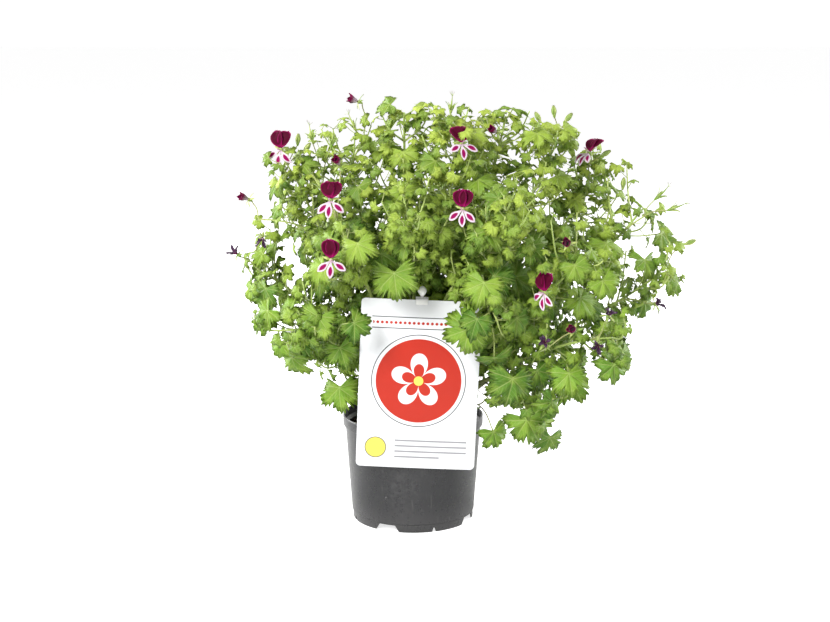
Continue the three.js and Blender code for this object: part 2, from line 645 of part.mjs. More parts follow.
// The pot: one turned wall with a lip and a raised floor, cut into feet at the bottom.
function potSolid() {
  const { wall, height, lipRadius, lipHeight, topRadius, footRadius, footHeight, drain } = POT;
  const shoulder = height - lipHeight;
  const profile = [
    [0, footHeight], [footRadius - wall, footHeight], [footRadius - wall, 0], [footRadius, 0],
    [topRadius, shoulder - 1], [lipRadius, shoulder], [lipRadius, height],
    [lipRadius - wall, height], [lipRadius - wall, shoulder + 1], [topRadius - wall, shoulder - 1.6],
    [innerRadius(footHeight + wall), footHeight + wall], [0, footHeight + wall],
  ].map(([x, y]) => new THREE.Vector2(x, y));
  const turned = new THREE.LatheGeometry(profile, POT.sides).rotateX(Math.PI / 2);
  const cuts = [];
  for (let i = 0; i < POT.feet; i++) {
    const middle = radians(POT.firstGapAngle - 90 + (360 / POT.feet) * i);
    const half = radians(POT.gapAngle / 2) * footRadius;
    cuts.push(footCut(middle, half, half - 3, footHeight - 0.4));
    cuts.push(footCut(middle + Math.PI / POT.feet, POT.notchWidth / 2, 0.5, POT.notchHeight));
  }
  for (let i = 0; i < drain.holes; i++) {
    const a = (2 * Math.PI * (i + 0.5)) / drain.holes;
    cuts.push(solidOf(new THREE.CylinderGeometry(drain.radius, drain.radius, 12, 6)
      .rotateX(Math.PI / 2)
      .translate(drain.ring * Math.cos(a), drain.ring * Math.sin(a), footHeight)));
  }
  return solidOf(turned).subtract(joined(cuts));
}

// How far the inside of the pot's wall is from its axis, at a height.
function innerRadius(z) {
  const { footRadius, topRadius, height, lipHeight, wall } = POT;
  return footRadius + ((topRadius - footRadius) * z) / (height - lipHeight - 1) - wall;
}

// A wedge that cuts a gap with sloping sides out of the foot ring, at an angle round the pot.
function footCut(angle, bottomHalf, topHalf, height) {
  const shape = new THREE.Shape([
    new THREE.Vector2(-bottomHalf, -1), new THREE.Vector2(bottomHalf, -1),
    new THREE.Vector2(topHalf, height), new THREE.Vector2(-topHalf, height),
  ]);
  const cut = new THREE.ExtrudeGeometry(shape, { depth: 12, bevelEnabled: false })
    .rotateX(Math.PI / 2)
    .rotateZ(Math.PI / 2)
    .translate(POT.footRadius - 7, 0, 0)
    .rotateZ(angle);
  return solidOf(cut);
}

// The soil: a plug that fills the pot, lumpy on top, with a hole for each stem and the stick.
function soilSolid(shoots) {
  const low = POT.footHeight + POT.wall + CLEARANCE;
  const topEdge = innerRadius(SOIL.top) - 2 * CLEARANCE;
  const bottomEdge = innerRadius(low) - 2 * CLEARANCE;
  const vertices = [new THREE.Vector3(0, 0, SOIL.top)];
  for (let ring = 1; ring <= SOIL.rings; ring++)
    for (let k = 0; k < SOIL.sides; k++) {
      const a = (2 * Math.PI * k) / SOIL.sides;
      const r = (topEdge * ring) / SOIL.rings;
      const lump = ring === SOIL.rings ? 0 : SOIL.lump * Math.sin(3.1 * k + 2.3 * ring * ring);
      vertices.push(new THREE.Vector3(r * Math.cos(a), r * Math.sin(a), SOIL.top + lump));
    }
  for (let k = 0; k < SOIL.sides; k++) {
    const a = (2 * Math.PI * k) / SOIL.sides;
    vertices.push(new THREE.Vector3(bottomEdge * Math.cos(a), bottomEdge * Math.sin(a), low));
  }
  vertices.push(new THREE.Vector3(0, 0, low));
  const triangles = [];
  for (let k = 0; k < SOIL.sides; k++) {
    const next = (k + 1) % SOIL.sides;
    triangles.push([0, 1 + k, 1 + next]);
    for (let ring = 0; ring < SOIL.rings; ring++) {
      const a = 1 + ring * SOIL.sides;
      const b = a + SOIL.sides;
      triangles.push([a + k, b + k, b + next], [a + k, b + next, a + next]);
    }
    const last = 1 + SOIL.rings * SOIL.sides;
    triangles.push([last + k, vertices.length - 1, last + next]);
  }
  const holes = shoots.map(({ stem }) => {
    const foot = stem.root.clone().setZ(stem.root.z - CLEARANCE);
    const hole = STEM.baseRadius + 2 * CLEARANCE;
    return bar([foot, stem.root.clone().setZ(SOIL.top + 20)], hole, hole, STEM.sides);
  });
  return solidFrom(vertices, triangles).subtract(joined(holes)).subtract(stickSolid(CLEARANCE));
}

// The plant card: a sheet with rounded corners, bowed a little across its width.
function cardSolid() {
  const { width, height, thickness, corner, columns, bow } = CARD;
  const front = new THREE.QuadraticBezierCurve(new THREE.Vector2(-width / 2 - 1, bow),
    new THREE.Vector2(0, -bow), new THREE.Vector2(width / 2 + 1, bow)).getPoints(columns);
  const back = front.map((p) => new THREE.Vector2(p.x, p.y + thickness)).reverse();
  const sheet = new THREE.ExtrudeGeometry(new THREE.Shape([...front, ...back]),
    { depth: height, bevelEnabled: false });
  const arc = (x, z, from) => [0, 30, 60, 90].map((step) => {
    const a = radians(from + step);
    return new THREE.Vector2(x + corner * Math.cos(a), z + corner * Math.sin(a));
  });
  const half = width / 2 - corner;
  const outline = new THREE.Shape([
    ...arc(half, height - corner, 0), ...arc(-half, height - corner, 90),
    ...arc(-half, corner, 180), ...arc(half, corner, 270),
  ]);
  const block = new THREE.ExtrudeGeometry(outline, { depth: 20, bevelEnabled: false })
    .rotateX(Math.PI / 2)
    .translate(0, 10, 0);
  const place = new THREE.Matrix4()
    .makeTranslation(CARD.middle - 3.1, CARD.back - thickness, CARD.bottom)
    .multiply(new THREE.Matrix4().makeRotationY(radians(CARD.lean)));
  return solidOf(sheet.applyMatrix4(place)).intersect(solidOf(block.applyMatrix4(place)));
}

// The stick: a flat strip from the soil up behind the card, with a clip over the card's top
// edge and a round head. grow widens it all round, for the slot that it stands in.
function stickSolid(grow) {
  const { width, thickness, flangeWidth, flangeRise, lip, headRadius, headHeight } = STICK;
  const top = new THREE.Vector3(CARD.middle + 3.2, CARD.back + CLEARANCE, CARD.bottom + CARD.height);
  const foot = new THREE.Vector3(CARD.middle - 3.9, STICK.bottomY, STICK.bottom);
  const length = top.distanceTo(foot);
  const half = width / 2 + grow;
  const outline = new THREE.Shape([
    [0, -6 - 2 * grow], [half, 4], [half, length - lip], [flangeWidth / 2, length - lip],
    [flangeWidth / 2, length + flangeRise], [-flangeWidth / 2, length + flangeRise],
    [-flangeWidth / 2, length - lip], [-half, length - lip], [-half, 4],
  ].map(([x, y]) => new THREE.Vector2(x, y)));
  const strip = new THREE.ExtrudeGeometry(outline, { depth: thickness + 2 * grow, bevelEnabled: false })
    .translate(0, 0, -thickness - grow);
  const gap = CARD.thickness + 2 * CLEARANCE;
  const hook = new THREE.Shape([
    [-0.8, 0.5], [gap, 0.5], [gap, -lip], [gap + 1, -lip], [gap + 1, 1.8], [-0.8, 1.8],
  ].map(([x, y]) => new THREE.Vector2(x, length + y)));
  const clip = new THREE.ExtrudeGeometry(hook, { depth: flangeWidth - 0.6, bevelEnabled: false })
    .rotateY(-Math.PI / 2)
    .translate(flangeWidth / 2 - 0.3, 0, 0);
  const head = new THREE.LatheGeometry([
    [0, -0.16], [0.36, -0.16], [0.36, 0.1], [0.84, 0.34], [1, 0.52], [0.84, 0.74], [0.4, 0.92], [0, 1],
  ].map(([x, y]) => new THREE.Vector2(x * headRadius, length + flangeRise + y * headHeight)), STICK.headSides)
    .translate(0, 0, -thickness / 2);
  const way = top.clone().sub(foot).normalize();
  const out = new THREE.Vector3(0, -1, 0);
  const front = mixed([out, 1], [way, -out.dot(way)]).normalize();
  const place = new THREE.Matrix4().makeBasis(way.clone().cross(front), way, front).setPosition(foot);
  return joined([strip, clip, head].map((g) => solidOf(g.applyMatrix4(place))));
}

const finish = (colour, roughness) =>
  new THREE.MeshStandardMaterial({ color: colour, roughness, metalness: 0 });
const FINISH = {
  pot: finish(0x2b2b2d, 0.42),
  soil: finish(0x2a1d14, 0.95),
  card: finish(0xf4f5f6, 0.35),
  stick: finish(0xf2f2f0, 0.4),
  green: finish(0x6f9a33, 0.6),
  burgundy: finish(0x6d0f3c, 0.6),
  white: finish(0xe9d3e2, 0.6),
  faded: finish(0x3b1a33, 0.75),
};

const plant = new THREE.Group();
plant.name = "potted_geranium";
plant.position.set(...POT_AXIS);

function add(name, solid, material) {
  const mesh = new THREE.Mesh(geometryOf(solid), material);
  mesh.name = name;
  plant.add(mesh);
}

const shoots = growPlant();
add("pot", potSolid(), FINISH.pot);
add("soil", soilSolid(shoots), FINISH.soil);
add("plant_card", cardSolid(), FINISH.card);
add("card_stick", stickSolid(0), FINISH.stick);
const counts = { open: 0, half: 0, faded: 0 };
for (const shoot of shoots) {
  add(`shoot_${shoot.name}`, shootSolid(shoot), FINISH.green);
  for (const flower of shoot.flowers) {
    if (!(flower.kind in counts)) continue;
    counts[flower.kind] += 1;
    const number = String(counts[flower.kind]).padStart(2, "0");
    if (flower.kind === "open") {
      add(`bloom_${number}_upper_petals`, openPetals(flower, UPPER_PETALS, 1), FINISH.burgundy);
      add(`bloom_${number}_lower_petals`, openPetals(flower, LOWER_PETALS, -1), FINISH.white);
    } else {
      const colour = flower.kind === "half" ? FINISH.burgundy : FINISH.faded;
      add(`${flower.kind}_bloom_${number}`, closedPetals(flower), colour);
    }
  }
}

export default plant;
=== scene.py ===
"""A potted lemon-scented geranium with its plant card: the looks that go over the CAD model.

The file is laid out as an add-on and is run as a script. Finished pieces are in metres in the
CAD model's frame. The plant is grown in millimetres from the pot's axis, by the same rules and
the same seeded draws as in the CAD model, so each fine leaf lies where its solid is.
"""

import functools
import math

import bmesh
import bpy
import numpy as np
from bpy.props import FloatProperty, FloatVectorProperty, IntProperty, PointerProperty
from bpy.types import Operator, Panel, PropertyGroup
from mathutils import Matrix, Vector


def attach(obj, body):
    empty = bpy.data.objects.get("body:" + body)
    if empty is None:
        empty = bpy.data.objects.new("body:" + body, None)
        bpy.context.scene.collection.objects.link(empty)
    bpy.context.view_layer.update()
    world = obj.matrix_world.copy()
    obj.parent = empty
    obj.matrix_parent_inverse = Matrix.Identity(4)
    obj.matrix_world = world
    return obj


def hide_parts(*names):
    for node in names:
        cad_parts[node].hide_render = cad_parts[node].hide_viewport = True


bl_info = {
    "name": "Potted Scented Geranium",
    "version": (1, 0, 0),
    "blender": (4, 5, 0),
    "location": "3D View > Sidebar > Geranium",
    "description": "Models a potted lemon-scented geranium with its pot, soil and plant card",
    "category": "Add Mesh",
}

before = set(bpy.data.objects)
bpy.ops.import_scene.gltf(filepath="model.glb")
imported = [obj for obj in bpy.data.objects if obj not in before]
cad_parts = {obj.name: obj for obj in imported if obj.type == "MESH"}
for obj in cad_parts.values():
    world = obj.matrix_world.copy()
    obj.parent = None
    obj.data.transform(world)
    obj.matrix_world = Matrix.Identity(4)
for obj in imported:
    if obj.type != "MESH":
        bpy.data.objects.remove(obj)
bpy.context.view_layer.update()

MM = 0.001
POT_AXIS = Vector((-44, -10, 0)) * MM

# The pot, the soil and the card, in millimetres from the pot's axis and in degrees.
POT_LIP, POT_HEIGHT, SOIL_TOP = 65.0, 98.0, 86.0
CARD_WIDTH, CARD_HEIGHT, CARD_THICKNESS, CARD_LEAN = 106.0, 153.0, 0.8, 2.36
CARD_MIDDLE, CARD_BACK, CARD_BOTTOM = 4.7, -65.4, 64.4


def length(name, description, default):
    return FloatProperty(name=name, description=description, default=default, unit="LENGTH")


def share(name, description, default, low=0.0, high=1.0):
    return FloatProperty(name=name, description=description, default=default, min=low, max=high)


def number(name, description, default):
    return IntProperty(name=name, description=description, default=default, min=0)


def colour(name, description, default):
    return FloatVectorProperty(name=name, description=description, default=default, size=3,
                               subtype="COLOR", min=0.0, max=1.0)


class GeraniumPotSettings(PropertyGroup):
    height: length("Height", "Height of the pot", POT_HEIGHT * MM)
    lip_radius: length("Lip Radius", "Outer radius of the lip", POT_LIP * MM)
    lip_height: length("Lip Height", "Height of the lip's band", 9 * MM)
    top_radius: length("Top Radius", "Outer radius just below the lip", 62.8 * MM)
    foot_radius: length("Foot Radius", "Outer radius on the ground", 56.6 * MM)
    foot_height: length("Foot Height", "Height of the raised floor", 6.5 * MM)
    wall: length("Wall", "Thickness of the plastic", 1.4 * MM)
    sides: number("Sides", "Corners round the pot", 128)
    plastic: colour("Plastic", "Dark grey of the plastic", (0.014, 0.014, 0.0155))
    dust: colour("Dust", "Pale grey of dust and rubbed edges", (0.16, 0.155, 0.15))


class GeraniumSoilSettings(PropertyGroup):
    top: length("Top", "Height of the soil's surface", SOIL_TOP * MM)
    crumbs: number("Crumbs", "Crumbs that lie on the soil", 420)
    peat: colour("Peat", "Dark brown of the peat", (0.022, 0.014, 0.009))
    fibre: colour("Fibre", "Paler brown of fibres and bark", (0.12, 0.075, 0.04))


class GeraniumCardSettings(PropertyGroup):
    width: length("Width", "Width of the card", CARD_WIDTH * MM)
    height: length("Height", "Height of the card", CARD_HEIGHT * MM)
    thickness: length("Thickness", "Thickness of the card", CARD_THICKNESS * MM)
    corner: length("Corner", "Radius of the corners", 4 * MM)
    bow: length("Bow", "How far the sides bow back", 1.2 * MM)
    paper: colour("Paper", "White of the card", (0.80, 0.81, 0.83))
    red: colour("Red", "Red of the print", (0.46, 0.024, 0.010))
    yellow: colour("Yellow", "Yellow of the print", (0.80, 0.70, 0.11))
    ink: colour("Ink", "Dark ink of the lines", (0.03, 0.03, 0.035))
    plastic: colour("Stick Plastic", "White of the stick", (0.80, 0.80, 0.78))


class GeraniumLeafSettings(PropertyGroup):
    leaf: colour("Leaf", "Green of a grown leaf", (0.200, 0.375, 0.028))
    deep: colour("Deep", "Green of an old leaf", (0.076, 0.205, 0.012))
    young: colour("Young", "Yellow-green of a young leaf", (0.54, 0.66, 0.090))
    vein: colour("Vein", "Pale green of the veins", (0.58, 0.67, 0.22))
    stem: colour("Stem", "Green of the stems", (0.50, 0.60, 0.16))
    wood: colour("Wood", "Brown of the stems' old feet", (0.150, 0.120, 0.045))
    blush: colour("Blush", "Purple of thin stalks", (0.16, 0.045, 0.075))
    shine_through: share("Shine Through", "Share of the light that passes a blade", 0.26)


class GeraniumFlowerSettings(PropertyGroup):
    burgundy: colour("Burgundy", "Dark middle of the upper petals", (0.075, 0.0008, 0.016))
    magenta: colour("Magenta", "Edge of the upper petals, blotch of the lower", (0.34, 0.004, 0.11))
    white: colour("White", "Rim and ground of the petals", (0.86, 0.74, 0.84))
    faded: colour("Faded", "Purple of dry petals", (0.045, 0.014, 0.050))


class GeraniumStageSettings(PropertyGroup):
    floor: colour("Floor", "Pale floor", (0.82, 0.82, 0.82))
    glow: share("Glow", "Brightness that the camera sees in the floor beyond its own", 0.76)
    key: FloatProperty(name="Key Light", description="Power of the main light", default=97.0,
                       min=0.0, unit="POWER")
    sky: share("Sky", "Brightness of the light from all round", 0.24, high=3.0)


# How the plant grows.

LIGHT = np.array([-0.2, -0.85, 0.5])
UP = np.array([0.0, 0.0, 1.0])
STEM_ROOT, STEM_BASE, STEM_TIP, STEM_STEPS = 26.0, 2.3, 0.9, 7
GOLDEN_ANGLE = math.radians(137.5)
LOBE_SPACING = 54

# The bush: its middle, half its width, the height of its shoulders, the rise of its round top
# above them, and its back.
BUSH_CENTRE = np.array([25.0, 0.0, 190.0])
BUSH_HALF, BUSH_SHOULDER, BUSH_RISE, BUSH_BACK = 246, 200, 186, 148

# Room in millimetres: the gap between the points that stand for a line, and the room that a
# stalk or twig needs to grow and then keeps. A blade's room is a share of its radius.
POINT_GAP = 4
STALK_NEEDS, STALK_KEEPS = 1.4, 1.6
TWIG_NEEDS, TWIG_KEEPS = 1.0, 1.2
LEAF_ROOM = 0.16

# What the plant keeps clear of: the pot and the ground, and the card at its sides, in front of
# it, behind it, below it and above it.
POT_CLEAR, GROUND_CLEAR = 4, 8
CARD_SIDE, CARD_BEFORE, CARD_BEHIND, CARD_BELOW, CARD_ABOVE = 5, 6, 10, 4, 16

# Seeds of the draws, to which a shoot's own seed or a flower's number is added.
PLACED_SEED, TWIG_SEED, HIGH_TWIG_SEED, CRUMB_SEED = 5, 100, 200, 71
SHOOT_SEED, UPPER_SEED, LOWER_SEED, OPENING_SEED, DRY_SEED = 500, 900, 950, 1000, 1100

# Each leafy shoot: where it leaves the soil, the point that bends it outwards, its tip and its
# seed. One of them has no leaves of its own along a share of its stem.
SHOOTS = {
    "left_low_front": ((-24, -18), (-80, -54, 196), (-106, -74, 192), 11),
    "left_low": ((-30, 1), (-104, 4, 214), (-136, 4, 228), 12),
    "left_high": ((-17, -6), (-84, -10, 262), (-106, -12, 322), 13),
    "left_back": ((-20, 20), (-74, 70, 220), (-98, 92, 258), 14),
    "top_left": ((-10, 8), (-48, 24, 262), (-58, 26, 334), 15),
    "front_left": ((-12, -21), (-44, -58, 246), (-60, -78, 272), 16),
    "top_mid_left": ((-3, -3), (-8, 4, 280), (-8, 4, 376), 17),
    "front_mid": ((0, -18), (2, -56, 256), (0, -82, 286), 18),
    "top_mid": ((8, -9), (34, -22, 276), (38, -28, 364), 19),
    "top_right_mid": ((12, 3), (68, 10, 278), (84, 14, 372), 20),
    "top_right": ((20, -5), (104, -6, 270), (128, -8, 358), 21),
    "right_high": ((24, 8), (134, 18, 246), (170, 26, 318), 22),
    "right_out": ((31, 0), (158, -2, 222), (204, -2, 284), 23),
    "right": ((36, -9), (172, -16, 190), (222, -18, 232), 24),
    "front_right_high": ((16, -18), (64, -72, 250), (80, -92, 300), 25),
    "front_right": ((25, -22), (112, -74, 214), (142, -92, 256), 26),
    "right_low_front": ((33, -20), (128, -70, 186), (174, -88, 188), 27),
    "right_low": ((20, -34), (84, -48, 168), (122, -74, 128), 28),
    "front_right_low": ((8, -30), (40, -58, 292), (72, -106, 206), 29),
    "back_right": ((28, 20), (128, 76, 206), (162, 98, 246), 30),
    "back": ((10, 25), (36, 92, 236), (44, 118, 290), 41),
    "back_left": ((-6, 27), (-22, 92, 196), (-30, 120, 236), 32),
    "back_low": ((20, 32), (70, 104, 186), (92, 136, 194), 33),
}
BARE = {"left_low_front": 0.8}

# Large leaves placed one by one: the shoot and the share of it that they grow from, the stalk's
# end, the way the blade faces, the way its tip points, and its radius.
PLACED_LEAVES = [
    ("front_mid", 0.5, (-16, -96, 246), (-0.1, -0.95, 0.3), (0.1, -0.2, -1), 24),
    ("front_right_low", 0.72, (48, -106, 200), (-0.25, -0.9, 0.35), (-0.9, -0.1, -0.35), 25),
    ("left_low_front", 0.62, (-51, -92, 202), (0.2, -0.9, 0.35), (0.8, -0.1, -0.5), 17),
    ("left_low_front", 0.68, (-82, -84, 206), (-0.1, -0.9, 0.4), (-0.3, -0.2, -0.9), 21),
    ("left_low_front", 0.55, (-64, -74, 176), (0.1, -0.9, 0.35), (0.3, -0.2, -0.9), 19),
    ("left_low_front", 0.86, (-128, -62, 207), (-0.3, -0.85, 0.35), (-0.7, 0, -0.6), 20),
    ("left_low_front", 0.7, (-107, -58, 164), (-0.2, -0.9, 0.4), (-0.3, 0, -1), 22),
    ("left_low_front", 0.3, (-66, -50, 134), (-0.3, -0.8, 0.4), (0.1, -0.2, -1), 22),
    ("right_low", 0.86, (100, -84, 114), (0.1, -0.9, 0.4), (0.4, -0.2, -0.9), 25),
    ("right_low", 0.6, (122, -64, 92), (0.3, -0.85, 0.4), (-0.1, -0.2, -1), 19),
    ("right_low", 0.34, (72, -60, 96), (0.3, -0.9, 0.3), (0.4, -0.2, -0.8), 17),
    ("right_low_front", 0.9, (172, -64, 170), (0.3, -0.9, 0.3), (0.6, 0, -0.6), 24),
    ("front_right_low", 0.9, (70, -96, 172), (0.1, -0.9, 0.4), (0.2, -0.2, -1), 20),
    ("front_right_high", 0.62, (60, -108, 240), (-0.1, -0.9, 0.45), (-0.3, -0.2, -0.9), 22),
    ("left_low", 0.93, (-136, -12, 250), (-0.3, -0.6, 0.7), (-1, 0, -0.2), 14),
    ("right_low_front", 0.66, (134, -104, 160), (0.1, -0.9, 0.45), (0.1, -0.2, -1), 21),
]

# Flower stalks: the shoot and the share of it that each grows from, its fork, and what it
# carries: the kind, the place and the way it faces.
SPRAYS = [
    ("left_high", 0.9, (-113, -14, 331), [
        ("open", (-118, -20, 345), (-0.35, -0.9, 0.1)),
        ("bud", (-103, -10, 352), (0.1, -0.2, 1)),
        ("bud", (-96, -4, 344), (0.6, 0.1, 0.8))]),
    ("left_high", 0.66, (-141, -4, 280), [("half", (-150, 0, 298), (-0.7, -0.4, 0.4))]),
    ("left_low", 0.97, (-147, 2, 238), [
        ("faded", (-160, -8, 249), (-0.7, -0.2, 0.6)),
        ("faded", (-135, -22, 266), (-0.1, -0.3, -0.9))]),
    ("top_left", 0.72, (-84, 20, 318), [
        ("spent", (-92, 12, 352), (-0.2, -0.1, 1)),
        ("spent", (-74, 20, 347), (0.15, 0, 1))]),
    ("top_left", 0.92, (-45, 18, 350), [
        ("half", (-50, 2, 386), (-0.9, -0.2, 0.35)),
        ("spent", (-54, 22, 362), (-0.4, 0, 0.9))]),
    ("front_left", 0.88, (-66, -80, 290), [
        ("open", (-70, -94, 309), (-0.1, -0.95, 0.25)),
        ("spent", (-80, -72, 318), (-0.5, -0.1, 0.9)),
        ("half", (-64, -62, 336), (-0.3, -0.6, 0.6))]),
    ("front_left", 0.62, (-72, -98, 240), [("open", (-69, -114, 261), (0.05, -1, 0.1))]),
    ("top_mid", 0.84, (44, -46, 344), [("open", (42, -62, 354), (0.3, -0.8, 0.45))]),
    ("top_mid", 0.94, (32, -14, 362), [("spent", (34, -6, 380), (0.1, 0, 1))]),
    ("top_right_mid", 0.86, (78, 2, 350), [
        ("half", (74, -14, 360), (-0.6, -0.6, 0.4)),
        ("bud", (62, 6, 366), (-0.5, 0, 1))]),
    ("top_right", 0.84, (134, 8, 354), [
        ("bud", (127, 4, 376), (-0.1, 0, 1)),
        ("bud", (140, 10, 370), (0.6, 0.1, 0.7)),
        ("bud", (114, 16, 370), (-0.5, 0.2, 0.9))]),
    ("right_high", 0.9, (160, 14, 326), [
        ("open", (158, -4, 341), (-0.6, -0.4, 0.7)),
        ("bud", (174, 8, 338), (0.8, -0.1, 0.5))]),
    ("right_out", 0.88, (208, -14, 284), [
        ("spent", (221, -12, 302), (0.8, -0.1, 0.7)),
        ("spent", (232, -22, 292), (1, -0.1, 0.35))]),
    ("right_out", 0.7, (180, 10, 290), [
        ("spent", (176, 10, 310), (-0.2, -0.2, 1)),
        ("bud", (192, 12, 310), (0.1, 0, 1))]),
    ("right", 0.9, (232, -6, 240), [("bud", (252, 0, 258), (0.9, 0, 0.35))]),
    ("right", 0.8, (208, -30, 208), [("faded", (218, -34, 208), (0.5, -0.4, 0.2))]),
    ("front_right_high", 0.84, (58, -92, 284), [
        ("open", (42, -98, 302), (-0.2, -0.95, 0.15)),
        ("spent", (62, -102, 297), (-0.2, -0.4, 0.9))]),
    ("front_right", 0.9, (140, -92, 268), [("half", (132, -98, 272), (-0.3, -0.9, 0.3))]),
    ("front_right", 0.66, (112, -102, 226), [("open", (110, -120, 234), (-0.75, -0.6, 0.1))]),
    ("right_low_front", 0.5, (116, -100, 182), [
        ("faded", (112, -116, 190), (-0.1, -0.8, 0.4)),
        ("half", (137, -112, 200), (-0.4, -0.8, 0.3))]),
    ("right_low_front", 0.86, (164, -92, 196), [
        ("faded", (158, -106, 186), (-0.1, -0.7, -0.3)),
        ("faded", (168, -96, 210), (0.3, -0.5, 0.7))]),
]


class Dice:
    """One seeded stream of numbers from 0 to 1."""

    def __init__(self, seed):
        self.state = seed
        self.next()
        self.next()

    def next(self):
        self.state = (self.state * 1664525 + 1013904223) % 4294967296
        return self.state / 4294967296

    def between(self, low, high):
        return low + (high - low) * self.next()

    def way(self):
        return np.array([self.between(-1, 1), self.between(-1, 1), self.between(-1, 1)])


def unit(v):
    return v / np.linalg.norm(v)


def spaced(line, gap):
    """The points of a bent line, closer together than a gap."""
    points = []
    for a, b in zip(line, line[1:]):
        steps = math.ceil(np.linalg.norm(b - a) / gap)
        points += [a + (b - a) * (k / steps) for k in range(steps)]
    return points + [line[-1]]


def stalk_points(line):
    """The points of a stalk or twig, apart from the two next to what it grows from."""
    return spaced(line, POINT_GAP)[2:]


def bezier(corners, t):
    """The point of a Bezier curve at t, from its corners."""
    points = [np.asarray(c, float) for c in corners]
    while len(points) > 1:
        points = [a + (b - a) * t for a, b in zip(points, points[1:])]
    return points[0]


def spot(line, along):
    """The point and direction at a share of a bent line, counted by its corners."""
    place = min(along, 0.999) * (len(line) - 1)
    i = int(place)
    return line[i] + (line[i + 1] - line[i]) * (place - i), unit(line[i + 1] - line[i])


class Room:
    """What has grown so far, as points with the room that each keeps round it. Only points
    within SEARCH of new ones can be in their way."""

    MOST_POINTS = 160000
    SEARCH = 12

    def __init__(self):
        self.points = np.zeros((self.MOST_POINTS, 3))
        self.rooms = np.zeros(self.MOST_POINTS)
        self.shoots = np.zeros(self.MOST_POINTS, int)
        self.count = 0

    def occupy(self, points, room, shoot):
        end = self.count + len(points)
        self.points[self.count:end] = np.reshape(points, (-1, 3))
        self.rooms[self.count:end] = room
        self.shoots[self.count:end] = shoot
        self.count = end

    def clashes(self, points, room, shoot, own=0.7):
        points = np.asarray(points)
        if blocked(points):
            return True
        low, high = points.min(0) - self.SEARCH, points.max(0) + self.SEARCH
        known = self.points[:self.count]
        near = ((known > low) & (known < high)).all(1)
        apart = (self.rooms[:self.count][near] + room) \
            * np.where(self.shoots[:self.count][near] == shoot, own, 1)
        gaps = ((points[:, None] - known[near][None]) ** 2).sum(2)
        return bool((gaps < apart ** 2).any())


def past_the_bush(points):
    """True where a point would stand above the round top of the bush, or behind its back."""
    x, y, z = points.T
    wide = np.clip(1 - ((x - BUSH_CENTRE[0]) / BUSH_HALF) ** 2, 0, 1)
    return bool(((z > BUSH_SHOULDER + BUSH_RISE * np.sqrt(wide)) | (y > BUSH_BACK)).any())


def blocked(points):
    """True where a point would enter the pot, the soil or the card."""
    x, y, z = points.T
    in_pot = (z < POT_HEIGHT + POT_CLEAR) & (np.hypot(x, y) < POT_LIP + POT_CLEAR)
    by_card = (abs(x - CARD_MIDDLE) < CARD_WIDTH / 2 + CARD_SIDE) \
        & (y > CARD_BACK - CARD_BEFORE) & (y < CARD_BACK + CARD_BEHIND) \
        & (z > CARD_BOTTOM - CARD_BELOW) & (z < CARD_BOTTOM + CARD_HEIGHT + CARD_ABOVE)
    return bool((in_pot | by_card | (z < GROUND_CLEAR)).any())


class Leaf:
    """A leaf on its stalk: how the blade lies at the end of its line. LEAST_LEAN is how far it
    faces along its stalk at least, as a cosine."""

    LEAST_LEAN = 0.45
    PLEAT = 0.05

    def __init__(self, line, face_way, tip_way, radius, dice):
        way = unit(line[-1] - line[-2])
        face = unit(np.asarray(face_way, float))
        shortfall = self.LEAST_LEAN - face @ way
        if shortfall > 0:
            face = unit(face + 1.4 * shortfall * way)
        tip_way = np.asarray(tip_way, float)
        self.line, self.face, self.radius, self.centre = line, face, radius, line[-1]
        self.tip = unit(tip_way - face * (tip_way @ face))
        self.side = np.cross(self.face, self.tip)
        self.droop = dice.between(0.12, 0.3)
        self.wave = dice.between(0.03, 0.1)
        self.phase = dice.between(0, 2 * math.pi)

    def at(self, degrees, distance):
        """Points on the blade at degrees from its midrib and distances from its stalk."""
        degrees, distance = np.asarray(degrees, float), np.asarray(distance, float)
        part, angle = distance / self.radius, np.radians(degrees)
        pleat = np.cos(2 * math.pi * degrees / LOBE_SPACING)
        wave = np.sin(2 * angle + self.phase)
        lift = self.radius * (-self.droop * part ** 2 - self.PLEAT * part * pleat
                              + self.wave * part ** 2 * wave)
        return self.centre + np.multiply.outer(distance * np.cos(angle), self.tip) \
            + np.multiply.outer(distance * np.sin(angle), self.side) \
            + np.multiply.outer(lift, self.face)

    def feelers(self):
        """Points spread over the blade, to see what it would touch."""
        degrees = np.arange(-110, 111, 27.5)
        edge = self.radius * (1 - 0.25 * abs(degrees) / 110)
        return np.vstack([[self.centre], self.at(degrees, 0.52 * edge), self.at(degrees, 0.96 * edge)])


def grown_leaf(at, way, level, turn, radius, length, dice, loose=0.35):
    """A leaf that grows from a place on a stem, turned round it by an angle. A loose one faces
    the light less strictly."""
    ref = unit(level - way * (level @ way))
    out = ref * math.cos(turn) + np.cross(way, ref) * math.sin(turn)
    knee = at + way * 0.3 * length + out * 0.4 * length
    rise = unit(way * 0.25 + out * 0.7 + UP * 0.3)
    end = knee + rise * 0.5 * length
    outward = unit(end - BUSH_CENTRE)
    height = min(max((end[2] - 90) / 250, 0), 1)
    face = LIGHT * (0.6 + 0.3 * height) + outward * 0.7 + dice.way() * loose
    tip_way = outward * 0.7 + out * 0.6 - UP * 0.55
    line = [at, knee, end] if np.linalg.norm(end - at) > 30 else [at, end]
    return Leaf(line, face, tip_way, radius, dice)


# How far a leaf is turned and how much its stalk is stretched, try by try.
ATTEMPTS = [(0, 1), (0.5, 1.1), (-0.5, 0.85), (1.1, 1.25), (-1.1, 1), (1.8, 0.7)]


